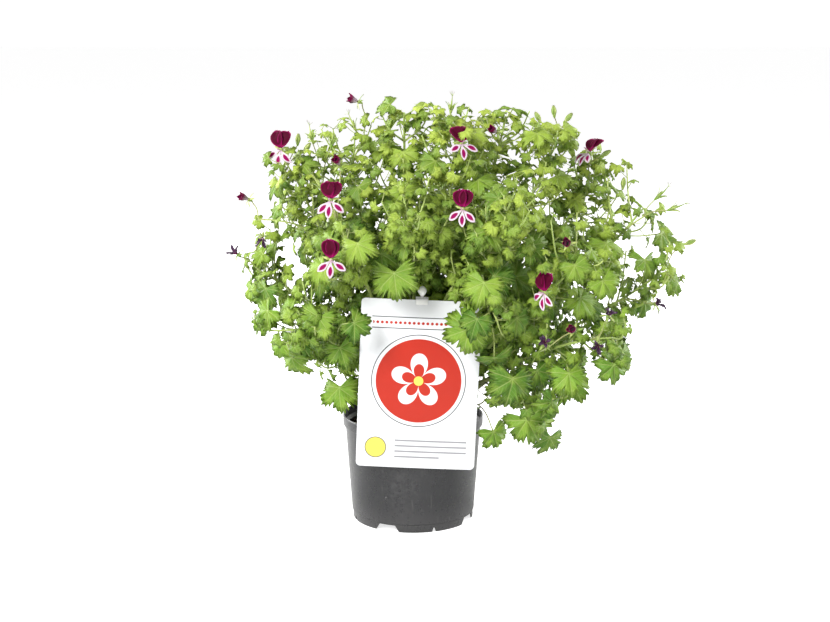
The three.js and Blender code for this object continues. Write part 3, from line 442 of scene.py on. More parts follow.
def try_leaf(room, number, leaves, place, turn, radius, length, dice, share=LEAF_ROOM, own=0.7,
             loose=0.35):
    """Tries a few turns and lengths, and keeps the first leaf that touches nothing. Share is
    the room round its blade, and own the part of all room that its own shoot has to keep."""
    for twist, stretch in ATTEMPTS:
        leaf = grown_leaf(*place, turn + twist, radius, length * stretch, dice, loose)
        points, stalk = leaf.feelers(), stalk_points(leaf.line)
        if loose > 0.5 and past_the_bush(points):
            continue
        if room.clashes(points, share * radius, number, own):
            continue
        if stalk and room.clashes(stalk, STALK_NEEDS, number, own):
            continue
        room.occupy(points, share * radius, number)
        room.occupy(stalk, STALK_KEEPS, number)
        leaves.append(leaf)
        return True
    return False


class Shoot:
    """A main stem from the soil to the shoot's tip, and what grows on it."""

    def __init__(self, number, name, foot, bend, tip, seed):
        self.number, self.name, self.seed = number, name, seed
        base = np.array([*foot, SOIL_TOP + 5.0])
        bend, tip = np.array(bend, float), np.array(tip, float)
        low = 0.94 * base + 0.06 * bend
        low[2] = base[2] + 0.45 * (bend[2] - base[2])
        self.corners = (base, low, bend, tip)
        self.line = [bezier(self.corners, t / STEM_STEPS) for t in range(STEM_STEPS + 1)]
        azimuth = math.atan2(tip[1], tip[0])
        self.level = np.array([-math.sin(azimuth), math.cos(azimuth), 0.0])
        self.root = np.array([*foot, SOIL_TOP - STEM_ROOT])
        self.leaves, self.small_leaves, self.twigs, self.sprays = [], [], [], []

    def place(self, along):
        """The point, direction and level of the stem at a share of it."""
        return (*spot(self.line, along), self.level)

    def radius(self, t):
        return STEM_BASE + (STEM_TIP - STEM_BASE) * (1 + STEM_STEPS * t) / (1 + STEM_STEPS)


class Flower:
    """What a flower stalk carries, with the points of that stalk."""

    def __init__(self, kind, head, face, start, fork, number):
        self.kind, self.head, self.face = kind, np.array(head, float), unit(np.array(face, float))
        seat = self.head - 3.4 * self.face
        reach = np.linalg.norm(fork - seat)
        self.stalk = [start, 0.5 * fork + 0.5 * seat + UP * 0.1 * reach - 3 * self.face, seat]
        lean = np.array([0.0, 1.0, 0.0]) if abs(self.face[2]) > 0.95 else UP
        self.up = unit(lean - self.face * (lean @ self.face))
        self.across = np.cross(self.face, self.up)
        self.number = number

    def rim(self, size):
        turns = 0.2 * math.pi * np.arange(10)
        ring = np.outer(size * np.cos(turns), self.up) + np.outer(size * np.sin(turns), self.across)
        return np.vstack([[self.head], self.head + ring, self.head + 0.5 * ring])


# The radius that each kind of flower takes up, and the room round its points.
FLOWER_SIZE = {"open": 13, "half": 7, "faded": 7, "spent": 5, "bud": 2}
FLOWER_ROOM = 3.2

# The shares of a stem where large leaves grow, and their radius low down and at the tip.
LEAF_PLACES = [0.99, 0.95, 0.9, 0.84, 0.77, 0.7, 0.62, 0.53, 0.43]
LOW_LEAF, TIP_LEAF = 26, 16

# The number of twigs on a stem, the share of it that they take up, the shares of a twig where
# its leaves grow, and the height from which a shoot gets its twigs twice.
TWIG_STEPS, TWIG_STRETCH = 27, 0.72
TWIG_PLACES = (0.98, 0.85, 0.66, 0.45, 0.25)
HIGH_TIP = 285


def lay_spray(room, shoot, along, fork, flowers, counts):
    at, way = spot(shoot.line, along)
    fork = np.array(fork, float)
    lead = at + way * 0.45 * np.linalg.norm(fork - at)
    line = [bezier((at, lead, fork), t) for t in (0, 0.5, 1)]
    room.occupy(stalk_points(line), STALK_KEEPS, shoot.number)
    inward = unit(line[1] - fork)
    carried = []
    for i, (kind, head, face) in enumerate(flowers):
        counts[kind] = counts.get(kind, 0) + 1
        flower = Flower(kind, head, face, fork + inward * (0.7 + 0.6 * i), fork, counts[kind])
        room.occupy(spaced(flower.stalk, POINT_GAP), STALK_KEEPS, shoot.number)
        room.occupy(flower.rim(FLOWER_SIZE[kind]), FLOWER_ROOM, shoot.number)
        carried.append(flower)
    shoot.sprays.append(((bezier(shoot.corners, along), lead, fork), carried))


def grow_leaves(room, shoot):
    """Grows the leaves of the CAD model along a main stem, from the tip down."""
    dice = Dice(shoot.seed)
    turn = dice.between(0, 2 * math.pi)
    for i, along in enumerate(LEAF_PLACES):
        turn += GOLDEN_ANGLE
        if along < BARE.get(shoot.name, 0):
            continue
        radius = (LOW_LEAF - (LOW_LEAF - TIP_LEAF) * along ** 2) * dice.between(0.85, 1.12)
        short = i % 2 > 0 or along > 0.9
        length = radius * (dice.between(0.8, 1.2) if short else dice.between(1.7, 2.3))
        try_leaf(room, shoot.number, shoot.leaves, shoot.place(along), turn, radius, length, dice)


def grow_twigs(room, shoot, seed):
    """Fills the gaps between the large leaves with small ones, on the stem and on side twigs."""
    dice = Dice(seed)
    turn = dice.between(0, 2 * math.pi)
    for step in range(TWIG_STEPS):
        along = 0.99 - TWIG_STRETCH * step / TWIG_STEPS
        turn += GOLDEN_ANGLE
        at, way, level = shoot.place(along)
        radius = dice.between(6.5, 11) + 4 * (1 - along)
        try_leaf(room, shoot.number, shoot.small_leaves, (at, way, level), turn, radius,
                 radius * dice.between(0.9, 2.4), dice, share=0.08, own=0.45, loose=0.8)
        if step % 3 == 2:
            continue
        ref = unit(level - way * (level @ way))
        out = ref * math.cos(turn + 2) + np.cross(way, ref) * math.sin(turn + 2)
        reach = dice.between(16, 42)
        twig = [at, at + (out * 0.55 + way * 0.4) * reach, at + (out * 0.85 + way * 0.6 + UP * 0.35) * reach]
        if past_the_bush(np.array(twig)):
            continue
        if room.clashes(stalk_points(twig), TWIG_NEEDS, shoot.number, own=0.4):
            continue
        carried = []
        for k, on in enumerate(TWIG_PLACES):
            place = (*spot(twig, on), ref)
            small = dice.between(5.0, 10.0) - 1.0 * (k == 0)
            try_leaf(room, shoot.number, carried, place, turn + 2.4 * k, small,
                     small * dice.between(0.8, 1.7), dice, share=0.06, own=0.4, loose=0.9)
        if carried:
            room.occupy(stalk_points(twig), TWIG_KEEPS, shoot.number)
            shoot.twigs.append((along, twig))
            shoot.small_leaves += carried


@functools.lru_cache(maxsize=1)
def grow_plant():
    """The shoots with all that grows on them, by the CAD model's rules and draws."""
    room = Room()
    shoots = {}
    for number, (name, given) in enumerate(SHOOTS.items()):
        shoots[name] = Shoot(number, name, *given)
        room.occupy(spaced(shoots[name].line, POINT_GAP), STEM_TIP + 1, number)
    counts = {}
    for name, along, fork, flowers in SPRAYS:
        lay_spray(room, shoots[name], along, fork, flowers, counts)
    dice = Dice(PLACED_SEED)
    for name, along, end, face, tip, radius in PLACED_LEAVES:
        shoot = shoots[name]
        at, way = spot(shoot.line, along)
        end = np.array(end, float)
        knee = 0.45 * at + 0.55 * end + way * 0.12 * np.linalg.norm(end - at) + UP * 3
        leaf = Leaf([at, knee, end], face, tip, radius, dice)
        room.occupy(leaf.feelers(), LEAF_ROOM * radius, shoot.number)
        room.occupy(stalk_points(leaf.line), STALK_KEEPS, shoot.number)
        shoot.leaves.append(leaf)
    for shoot in shoots.values():
        grow_leaves(room, shoot)
    for shoot in shoots.values():
        grow_twigs(room, shoot, TWIG_SEED + shoot.seed)
    for shoot in shoots.values():
        if shoot.line[-1][2] > HIGH_TIP:
            grow_twigs(room, shoot, HIGH_TWIG_SEED + shoot.seed)
    return list(shoots.values())


# Meshes of the plant. Lengths are millimetres from the pot's axis until they are finished.


class Growth:
    """Gathers the surfaces of one piece. A mark is a red, green and blue value that the
    materials read: tone, youth and, by material, underside or blush."""

    def __init__(self):
        self.points, self.uvs, self.marks = [], [], []
        self.faces, self.slots = {3: [], 4: []}, {3: [], 4: []}
        self.count = 0

    def add(self, points, faces, uvs, marks, slot):
        points = np.asarray(points, float)
        self.points.append(points)
        self.uvs.append(np.broadcast_to(uvs, (len(points), 2)))
        self.marks.append(np.broadcast_to(marks, (len(points), 3)))
        self.count += len(points)
        self.add_faces(faces, slot, len(points))

    def add_faces(self, faces, slot, back):
        """Faces of one size on the points added last, which are back in number."""
        size = len(faces[0])
        self.faces[size].append(np.asarray(faces) + self.count - back)
        self.slots[size].append(np.full(len(faces), slot))

    def finish(self, name, materials):
        mesh = bpy.data.meshes.new(name)
        points = np.vstack(self.points) * MM + np.array(POT_AXIS)
        groups = {size: np.vstack(faces) for size, faces in self.faces.items() if faces}
        corners = np.concatenate([faces.ravel() for faces in groups.values()])
        starts, start = [], 0
        for size, faces in groups.items():
            starts.append(start + size * np.arange(len(faces)))
            start += size * len(faces)
        mesh.vertices.add(len(points))
        mesh.vertices.foreach_set("co", points.ravel())
        mesh.loops.add(len(corners))
        mesh.loops.foreach_set("vertex_index", corners.astype(np.int32))
        starts = np.concatenate(starts)
        mesh.polygons.add(len(starts))
        mesh.polygons.foreach_set("loop_start", starts.astype(np.int32))
        slots = np.concatenate([np.concatenate(self.slots[size]) for size in groups])
        mesh.polygons.foreach_set("material_index", slots.astype(np.int32))
        mesh.update(calc_edges=True)
        uvs = np.vstack(self.uvs)[corners].astype(np.float32)
        mesh.uv_layers.new(name="shape").data.foreach_set("uv", uvs.ravel())
        marks = np.hstack([np.vstack(self.marks), np.ones((len(points), 1))]).astype(np.float32)
        layer = mesh.color_attributes.new("mark", "FLOAT_COLOR", "POINT")
        layer.data.foreach_set("color", marks.ravel())
        mesh.shade_smooth()
        mesh.validate()
        for material in materials:
            mesh.materials.append(material)
        piece = bpy.data.objects.new(name, mesh)
        bpy.context.scene.collection.objects.link(piece)
        return piece


def smooth_line(line, steps):
    """A smooth curve through the corners of a bent line."""
    points = [2 * line[0] - line[1], *line, 2 * line[-1] - line[-2]]
    out = []
    for a, b, c, d in zip(points, points[1:], points[2:], points[3:]):
        for t in np.arange(steps) / steps:
            out.append(0.5 * (2 * b + (c - a) * t + (2 * a - 5 * b + 4 * c - d) * t ** 2
                              + (3 * b - a - 3 * c + d) * t ** 3))
    return np.array([*out, line[-1]])


# A direction that no stalk runs along, and the mark of what is neither young nor old.
ASKEW = np.array([0.31, 0.87, 0.38])
PLAIN = (0.5, 0.5, 0)


def tube(growth, line, radii, sides, slot, mark=PLAIN):
    """A closed round stalk along a line, with a radius at each of its points."""
    line = np.asarray(line, float)
    radii = np.broadcast_to(radii, len(line))
    ways = np.gradient(line, axis=0)
    ways /= np.linalg.norm(ways, axis=1)[:, None]
    ref = ASKEW
    turns = 2 * math.pi * np.arange(sides) / sides
    rings = []
    for p, way, radius in zip(line, ways, radii):
        ref = unit(ref - way * (ref @ way))
        cross = np.cross(way, ref)
        rings.append(p + radius * (np.outer(np.cos(turns), ref) + np.outer(np.sin(turns), cross)))
    count = len(line)
    points = np.vstack([*rings, line[:1], line[-1:]])
    k = np.arange(sides)
    k1 = (k + 1) % sides
    base = np.arange(count - 1)[:, None] * sides
    walls = np.stack([base + k, base + k1, base + k1 + sides, base + k + sides], 2).reshape(-1, 4)
    far = (count - 1) * sides
    caps = np.vstack([np.stack([np.full(sides, far + sides), k1, k], 1),
                      np.stack([np.full(sides, far + sides + 1), far + k, far + k1], 1)])
    heights = np.concatenate([np.repeat(np.linspace(0, 1, count), sides), [0, 1]])
    around = np.concatenate([np.tile(abs(k / sides - 0.5) * 2, count), [0.5, 0.5]])
    growth.add(points, walls, np.stack([around, heights], 1), mark, slot)
    growth.add_faces(caps, slot, len(points))


def sheet(growth, grid, normals, thickness, slot, uv, marks):
    """A closed thin body on a grid of points, which ends in one edge all round."""
    rows, columns = grid.shape[:2]
    inner = np.zeros((rows, columns))
    inner[1:-1, 1:-1] = 1
    top = grid + normals * (0.5 * thickness * inner)[..., None]
    below = (grid - normals * (0.5 * thickness * inner)[..., None])[1:-1, 1:-1]
    index = np.arange(rows * columns).reshape(rows, columns)
    under = index.copy()
    under[1:-1, 1:-1] = rows * columns + np.arange((rows - 2) * (columns - 2)).reshape(rows - 2, -1)
    quads = []
    for grid_index, order in ((index, 1), (under, -1)):
        cells = np.stack([grid_index[:-1, :-1], grid_index[:-1, 1:], grid_index[1:, 1:],
                          grid_index[1:, :-1]], 2).reshape(-1, 4)
        quads.append(cells[:, ::order])
    uvs = np.vstack([uv.reshape(-1, 2), uv[1:-1, 1:-1].reshape(-1, 2)])
    marks = np.broadcast_to(marks, (rows, columns, 3))
    marks = np.vstack([marks.reshape(-1, 3), marks[1:-1, 1:-1].reshape(-1, 3)])
    points = np.vstack([top.reshape(-1, 3), below.reshape(-1, 3)])
    growth.add(points, np.vstack(quads), uvs, marks, slot)


def petal(growth, head, face, way, path, widths, slot, dice, cup=0.0, curl=0.0, ruffle=0.03,
          columns=9, rows=11, thickness=0.35, mark=PLAIN):
    """A petal or sepal: path gives how far it runs outwards and forwards, from its root to its
    end, and widths how wide it is on the way. Its rows stand closer together towards its end."""
    side = np.cross(face, way)
    t = 1 - (1 - np.linspace(0, 1, rows)) ** 1.5
    curve = smooth_line([np.array([*p, 0.0]) for p in path], 8)
    curve_t = np.linspace(0, 1, len(curve))
    out = np.interp(t, curve_t, curve[:, 0])
    lift = np.interp(t, curve_t, curve[:, 1])
    half = 0.5 * np.interp(t, np.linspace(0, 1, len(widths)), widths)
    s = np.linspace(-1, 1, columns)
    span = max(np.hypot(*(np.array(path[-1]) - path[0])), 1)
    phase = dice.between(0, 6.3)
    x = np.outer(half, s)
    bend = cup * x ** 2 / max(half.max(), 0.1)
    wave = ruffle * span * np.outer(t ** 2, np.abs(s) ** 3 * np.sin(5 * s + phase)) \
        + 0.5 * ruffle * span * np.outer(t ** 2, np.sin(7 * s + 2 * phase))
    droop = curl * span * np.outer(t ** 3, np.ones(columns))
    round_end = -0.18 * half.max() * np.outer(np.clip((t - 0.6) / 0.4, 0, 1), s ** 2)
    tangent = np.gradient(np.stack([out, lift], 1), axis=0)
    tangent /= np.linalg.norm(tangent, axis=1)[:, None] + 1e-9
    along = np.outer(tangent[:, 0], way) + np.outer(tangent[:, 1], face)
    across_normal = np.outer(tangent[:, 0], face) - np.outer(tangent[:, 1], way)
    middle = head + np.outer(out, way) + np.outer(lift, face)
    grid = middle[:, None] + x[..., None] * side + (bend + wave - droop)[..., None] \
        * across_normal[:, None] + round_end[..., None] * along[:, None]
    normals = np.broadcast_to(across_normal[:, None], grid.shape)
    uv = np.stack([np.broadcast_to(0.5 + 0.5 * s, (rows, columns)),
                   np.broadcast_to(t[:, None], (rows, columns))], 2)
    sheet(growth, grid, normals, thickness, slot, uv, mark)


# Edges of a blade: for each lobe its middle in degrees, its length and the angle where it ends.
# Behind the last lobe the edge runs in to the stalk.
LOBES_END = 134
LARGE_LOBES = [(0, 1.0, 26.5), (50, 0.96, 80), (107, 0.84, LOBES_END)]
SMALL_LOBES = [(0, 1.0, 27), (52, 0.95, 80), (102, 0.74, 132)]
NOTCH = ([LOBES_END, 150, 180], [0.42, 0.16, 0.1])


def blade_edge(degrees, lobes, dice, sinus, tooth, depth):
    """The share of the radius that a blade reaches at each angle, with its lobes and teeth."""
    away = abs(degrees)
    reach = np.full(len(degrees), 0.1)
    start = 0.0
    for i, (middle, lobe, end) in enumerate(lobes):
        inside = (away >= start) & (away <= end)
        half = np.where(away < middle, middle - start, end - middle) if i else end
        u = np.clip(abs(away - middle) / half, 0, 1)
        body = sinus + (lobe - sinus) * (1 - u ** 5.0)
        body *= 1 - 0.13 * np.exp(-((u - 0.5) / 0.12) ** 2)
        reach = np.where(inside, body, reach)
        start = end
    reach = np.where(away > LOBES_END, np.interp(away, *NOTCH), reach)
    teeth = np.cos(2 * math.pi * degrees / tooth + dice.between(-0.4, 0.4))
    uneven = 1 + 0.05 * np.sin(degrees * 0.071 + dice.between(0, 6.3))
    return reach * uneven * (1 + depth * teeth * (away < LOBES_END - 2))


def spread(corners, back):
    """Angles round a blade: evenly over its lobes, and few behind the stalk."""
    return np.concatenate([np.linspace(-LOBES_END, LOBES_END, corners), back])


# From the leaves with the largest radius down: the angles round a blade, its rings, how wide
# in degrees and how deep its teeth are, and how far its sinuses may reach in.
LARGE_LEAF = 12.5
BLADES = [
    (18.5, spread(80, [152, 180, 208]), (0.22, 0.62, 1.0), 10.7, 0.07, (0.5, 0.64)),
    (LARGE_LEAF, spread(58, [156, 204]), (0.28, 0.65, 1.0), 13.4, 0.08, (0.5, 0.64)),
    (8.5, spread(34, [180]), (0.5, 1.0), 19.1, 0.10, (0.54, 0.68)),
    (0.0, spread(26, [180]), (0.5, 1.0), 26.8, 0.11, (0.56, 0.7)),
]

# How far a blade leaves its plane, as shares of its radius, and half its thickness in
# millimetres at its middle and beside its edge.
PLEAT_DEPTH, PUCKER_DEPTH, PUCKER_SPACING = 0.06, 0.03, 13.5
SIDE_RUFFLE, EDGE_RUFFLE, EDGE_WAVES = 0.085, 0.11, 2.2
HALF_BLADE, HALF_EDGE = 0.30, 0.02

# The radius of a blade on its map, whose middle is its stalk.
BLADE_ON_MAP = 0.45


def blade(growth, leaf, slot, dice, youth):
    """A lobed blade with its pleats: a thin closed body that ends in one edge all round."""
    _, degrees, rings, tooth, depth, sinus = next(b for b in BLADES if leaf.radius >= b[0])
    signed = np.where(degrees > 140, degrees - 360, degrees)
    lobes = LARGE_LOBES if leaf.radius > LARGE_LEAF else SMALL_LOBES
    edge = blade_edge(signed, lobes, dice, dice.between(*sinus), tooth, depth)
    count = len(degrees)
    parts = np.array([part * edge for part in rings])
    angles = np.broadcast_to(signed, parts.shape)
    points = leaf.at(angles, parts * leaf.radius)
    folds, phase = dice.between(4.5, 7.5), dice.between(0, 6.3)
    turns = np.radians(angles)
    pleat = -PLEAT_DEPTH * parts ** 1.5 * np.cos(2 * math.pi * angles / LOBE_SPACING)
    pucker = PUCKER_DEPTH * parts * np.sin(2 * math.pi * angles / PUCKER_SPACING + 7 * parts)
    ruffle = SIDE_RUFFLE * parts ** 2 * np.sin(turns * folds + phase) \
        + EDGE_RUFFLE * parts ** 3 * np.cos(turns * EDGE_WAVES + 2 * phase)
    points = points + (leaf.radius * (pleat + pucker + ruffle))[..., None] * leaf.face
    half = HALF_BLADE * (1 - np.array(rings) ** 2) + HALF_EDGE
    half[-1] = 0
    top = points + half[:, None, None] * leaf.face
    below = points[:-1] - half[:-1, None, None] * leaf.face
    middle = leaf.centre
    vertices = np.vstack([top.reshape(-1, 3), below.reshape(-1, 3),
                          [middle + HALF_BLADE * leaf.face, middle - HALF_BLADE * leaf.face]])
    k = np.arange(count)
    k1 = (k + 1) % count
    top_index = np.arange(len(rings) * count).reshape(len(rings), count)
    low_index = np.vstack([top_index[:-1] + len(rings) * count, top_index[-1:]])
    quads = []
    for index, order in ((top_index, 1), (low_index, -1)):
        inner, outer = index[:-1], index[1:]
        cells = np.stack([inner[:, k], outer[:, k], outer[:, k1], inner[:, k1]], 2)
        quads.append(cells.reshape(-1, 4)[:, ::order])
    centre = len(vertices) - 2
    fans = np.vstack([np.stack([np.full(count, centre), top_index[0][k], top_index[0][k1]], 1),
                      np.stack([np.full(count, centre + 1), low_index[0][k1], low_index[0][k]], 1)])
    flat = 0.5 + BLADE_ON_MAP * np.stack([parts * np.sin(turns), parts * np.cos(turns)], 2)
    uvs = np.vstack([flat.reshape(-1, 2), flat[:-1].reshape(-1, 2), [[0.5, 0.5], [0.5, 0.5]]])
    marks = np.full((len(vertices), 3), (dice.next(), youth, 0.0))
    marks[len(rings) * count:-2, 2] = 1
    marks[-1, 2] = 1
    growth.add(vertices, np.vstack(quads), uvs, marks, slot)
    growth.add_faces(fans, slot, len(vertices))


# The materials of a shoot, in the order of its slots.
LEAF, STEM, CUP = 0, 1, 2

# The radius of a leaf's stalk, and how that changes along it.
LARGE_STALK, SMALL_STALK = 0.62, 0.42
STALK_SHAPE = ([0, 0.12, 0.9, 1], [1.5, 1, 0.9, 1.2])

# The steps of a stem, and its joints: how many swell and by how much.
STEM_FINE, JOINTS, JOINT_SWELL = 44, 16, 0.16


def leaf_with_stalk(growth, leaf, dice, youth):
    line = [*leaf.line[:-1], leaf.centre - 0.1 * leaf.face]
    if len(line) == 2:
        sag = 0.06 * np.linalg.norm(line[1] - line[0])
        line.insert(1, 0.5 * (line[0] + line[1]) - UP * sag)
    large = leaf.radius > LARGE_LEAF
    path = smooth_line(line, 5 if large else 3)
    along, thickness = STALK_SHAPE
    thick = LARGE_STALK if large else SMALL_STALK
    radii = np.interp(np.linspace(0, 1, len(path)), along, [part * thick for part in thickness])
    tube(growth, path, radii, 6 if large else 3, STEM, (dice.next(), youth, 0.25))
    blade(growth, leaf, LEAF, dice, youth)


def stem_piece(growth, shoot, dice):
    t = np.linspace(0, 1, STEM_FINE)
    line = np.array([bezier(shoot.corners, x) for x in t])
    radii = np.array([shoot.radius(x) for x in t])
    swell = 1 + JOINT_SWELL * np.exp(-((((t * JOINTS) % 1) - 0.5) / 0.16) ** 2)
    line = np.vstack([[shoot.root], line])
    radii = np.concatenate([[STEM_BASE], radii * swell])
    tube(growth, line, radii, 10, STEM, (dice.next(), 0.3, 0))


# The small leaves at the fork of a flower stalk: their number, path and widths.
FORK_LEAVES = 4
FORK_LEAF_PATH = [(0.2, 0), (1.8, 0.3), (3.6, 0)]
FORK_LEAF_WIDTHS = [0.6, 1.8, 1.9, 1.2, 0.1]

# A flower's own stalk: its radius, and where it ends behind the flower.
FLOWER_STALK, STALK_END = 0.52, 4.6

# A bud and the cup behind a flower: places along its axis, from its middle, and their radii.
BUD_SHAPE = ([-5.2, -4, -2.4, -0.6, 1.4, 3.4, 5.0, 6.0, 6.4],
             [0.7, 1.15, 1.6, 2.1, 2.25, 1.9, 1.2, 0.55, 0.2])
CUP_SHAPE = ([-5.2, -4.2, -2.8, -1.4, -0.3], [0.6, 0.95, 1.35, 1.75, 1.2])

# Sepals: how far they run outwards and forwards, and their widths.
SEPALS = 5
BUD_SEPAL = [(1.5, -2.4), (2.35, 0.5), (1.9, 3.6), (0.5, 6.6)]
SPENT_SEPAL = [(1.3, -1.8), (2.5, 0.8), (3.6, 3.6), (5.8, 6.0)]
OPEN_SEPAL = [(1.2, -1.8), (3.4, -1.6), (5.8, -2.4), (8.0, -3.3)]
SEPAL_PATHS = {"bud": BUD_SEPAL, "spent": SPENT_SEPAL}
SEPAL_WIDTHS = [1.0, 2.1, 2.5, 2.0, 1.1, 0.15]

# The curled ends of a spent flower's style.
STYLE_ENDS = 5


def turned(flower, degrees):
    """The way across a flower's face at an angle from its upper side."""
    turn = math.radians(degrees)
    return flower.up * math.cos(turn) + flower.across * math.sin(turn)


def spray_piece(growth, corners, flowers, dice):
    """A flower stalk with its fork, and the stalks and calyces of its flowers."""
    line = [bezier(corners, t) for t in np.linspace(0, 1, 9)]
    tube(growth, line, np.linspace(0.85, 0.7, 9), 6, STEM, (dice.next(), 0.5, 0.35))
    fork = corners[-1]
    for _ in range(FORK_LEAVES):
        way = unit(dice.way() + np.array([0, 0, 0.4]))
        face = unit(np.cross(way, dice.way()))
        petal(growth, fork, face, way, FORK_LEAF_PATH, FORK_LEAF_WIDTHS, CUP, dice, columns=5,
              rows=5, mark=(dice.next(), 0.6, 0.2))
    for flower in flowers:
        path = smooth_line(flower.stalk, 6)
        end = flower.head - STALK_END * flower.face
        path = np.vstack([path[:-2], [end, end + 0.8 * flower.face]])
        tube(growth, path, FLOWER_STALK, 6, STEM, (dice.next(), 0.5, 0.6))
        calyx(growth, flower, dice)


def calyx(growth, flower, dice):
    """The green cup behind a flower with its five sepals, or a whole bud."""
    head, face = flower.head, flower.face
    is_bud = flower.kind == "bud"
    blush = 0.35 if flower.kind in ("bud", "half") else 0.15
    depths, radii = BUD_SHAPE if is_bud else CUP_SHAPE
    mark = (dice.next(), 0.55, 0.25) if is_bud else (dice.next(), 0.5, blush)
    tube(growth, head + np.outer(depths, face), radii, 10, CUP, mark)
    path = SEPAL_PATHS.get(flower.kind, OPEN_SEPAL)
    for k in range(SEPALS):
        way = turned(flower, 360 / SEPALS * k)
        petal(growth, head, face, way, path, SEPAL_WIDTHS, CUP, dice, cup=0.25, columns=5, rows=7,
              mark=(dice.next(), 0.5, blush))
    if flower.kind == "spent":
        beak(growth, flower, dice)


def beak(growth, flower, dice):
    """The seed beak of a spent flower, with the curled ends of its style."""
    head, face = flower.head, flower.face
    bend = unit(dice.way() - face * 0.2)
    reach = dice.between(9, 13)
    t = np.linspace(0, 1, 8)
    line = head + np.outer(t * reach, face) + np.outer(t ** 2 * 1.6, bend)
    radii = np.interp(t, [0, 0.25, 1], [1.1, 0.95, 0.32])
    tube(growth, line, radii, 6, CUP, (dice.next(), 0.5, 0.35))
    for _ in range(STYLE_ENDS):
        curl = unit(dice.way() + 0.3 * face)
        t = np.linspace(0, 1, 6)
        tip = line[-1] + np.outer(3.6 * t, unit(0.7 * curl + face)) + np.outer(2.0 * t ** 2, curl)
        tube(growth, tip, np.linspace(0.22, 0.14, 6), 4, CUP, (dice.next(), 0.2, 1.0))


def youth_at(leaf, low, rise, least=0):
    """How young a leaf looks: least below a height, and 1 from a rise above it."""
    return min(max((leaf.centre[2] - low) / rise, least), 1)


def shoot_piece(shoot, materials):
    growth = Growth()
    dice = Dice(SHOOT_SEED + shoot.seed)
    stem_piece(growth, shoot, dice)
    for corners, flowers in shoot.sprays:
        spray_piece(growth, corners, flowers, dice)
    for along, twig in shoot.twigs:
        line = smooth_line([bezier(shoot.corners, along), *twig[1:]], 4)
        tube(growth, line, np.linspace(1.0, 0.6, len(line)), 5, STEM, (dice.next(), 0.5, 0.1))
    for leaf in shoot.leaves:
        youth = youth_at(leaf, 190, 260) * (1 if leaf.radius < 20 else 0.6)
        leaf_with_stalk(growth, leaf, dice, youth)
    for leaf in shoot.small_leaves:
        leaf_with_stalk(growth, leaf, dice, youth_at(leaf, 130, 240, 0.25))
    return growth.finish(f"leafy_{shoot.name}", materials)


# Widths of the petals in millimetres, from root to end, and the angles from a flower's upper
# side at which its petals stand.
WIDE_PETAL = [1.8, 5.2, 8.8, 11.2, 12.2, 12.0, 10.4, 7.2, 1.4]
SPOON_PETAL = [1.0, 1.3, 1.9, 3.2, 5.0, 6.2, 6.3, 5.0, 1.8]
FOLDED_PETAL = [1.4, 4.0, 6.0, 6.8, 6.2, 3.8, 0.6]
DRY_PETAL = [0.8, 1.6, 3.0, 3.8, 2.4, 1.0, 0.3]
LOWER_TURNS = (128, 180, 232)
OPENING_TURNS = (20, 110, 200, 290)
INNER_TURN = 65
DRY_TURNS = (20, 65, 110, 200, 290)
STAMENS, DRY_STAMENS = 6, 3


def upper_petals(flower, materials):
    """The two wide dark petals of an open flower, with its stamens."""
    growth = Growth()
    dice = Dice(UPPER_SEED + flower.number)
    root = flower.head + 1.2 * flower.up
    spread_by, bent = dice.between(10, 25), dice.between(-1.5, 1.2)
    for k, side in enumerate((-1, 1)):
        size = dice.between(0.95, 1.05)
        path = [(0.2, -0.6), (4 * size, 0.9), (9 * size, 1 + 0.5 * k + 0.5 * bent),
                (13.5 * size, 0.4 + bent), (16.2 * size, -1 + 1.6 * bent)]
        way = turned(flower, side * spread_by + dice.between(-6, 6))
        petal(growth, root + 0.3 * k * flower.face, flower.face, way, path, WIDE_PETAL, 0, dice,
              cup=dice.between(0.1, 0.35), ruffle=0.06, columns=13, rows=15)
    for k in range(STAMENS):
        aside = 0.22 * (dice.next() - 0.5)
        lean = unit(flower.face + aside * flower.across - (0.15 + 0.1 * k / 5) * flower.up)
        t = np.linspace(0, 1, 6)
        line = flower.head + np.outer(t * (5 + 0.4 * k), lean) + np.outer(1.4 * t ** 2, flower.up)
        radii = np.interp(t, [0, 0.8, 1], [0.2, 0.16, 0.42])
        tube(growth, line, radii, 5, 1, (dice.next(), 0.5, 0.8))
    return growth.finish(f"bloom_{flower.number:02d}_dark_petals", materials)


def lower_petals(flower, materials):
    """The three narrow light petals of an open flower."""
    growth = Growth()
    dice = Dice(LOWER_SEED + flower.number)
    root = flower.head - 0.6 * flower.up
    for degrees in LOWER_TURNS:
        size = dice.between(0.92, 1.04)
        end = (15.4 * size, dice.between(-1.8, 0.8))
        path = [(0.2, -0.4), (4 * size, 0.7), (9 * size, 1.3), end]
        way = turned(flower, degrees + dice.between(-13, 13))
        petal(growth, root, flower.face, way, path, SPOON_PETAL, 0, dice,
              cup=dice.between(0.05, 0.3), ruffle=0.035, columns=9, rows=13)
    return growth.finish(f"bloom_{flower.number:02d}_light_petals", materials)


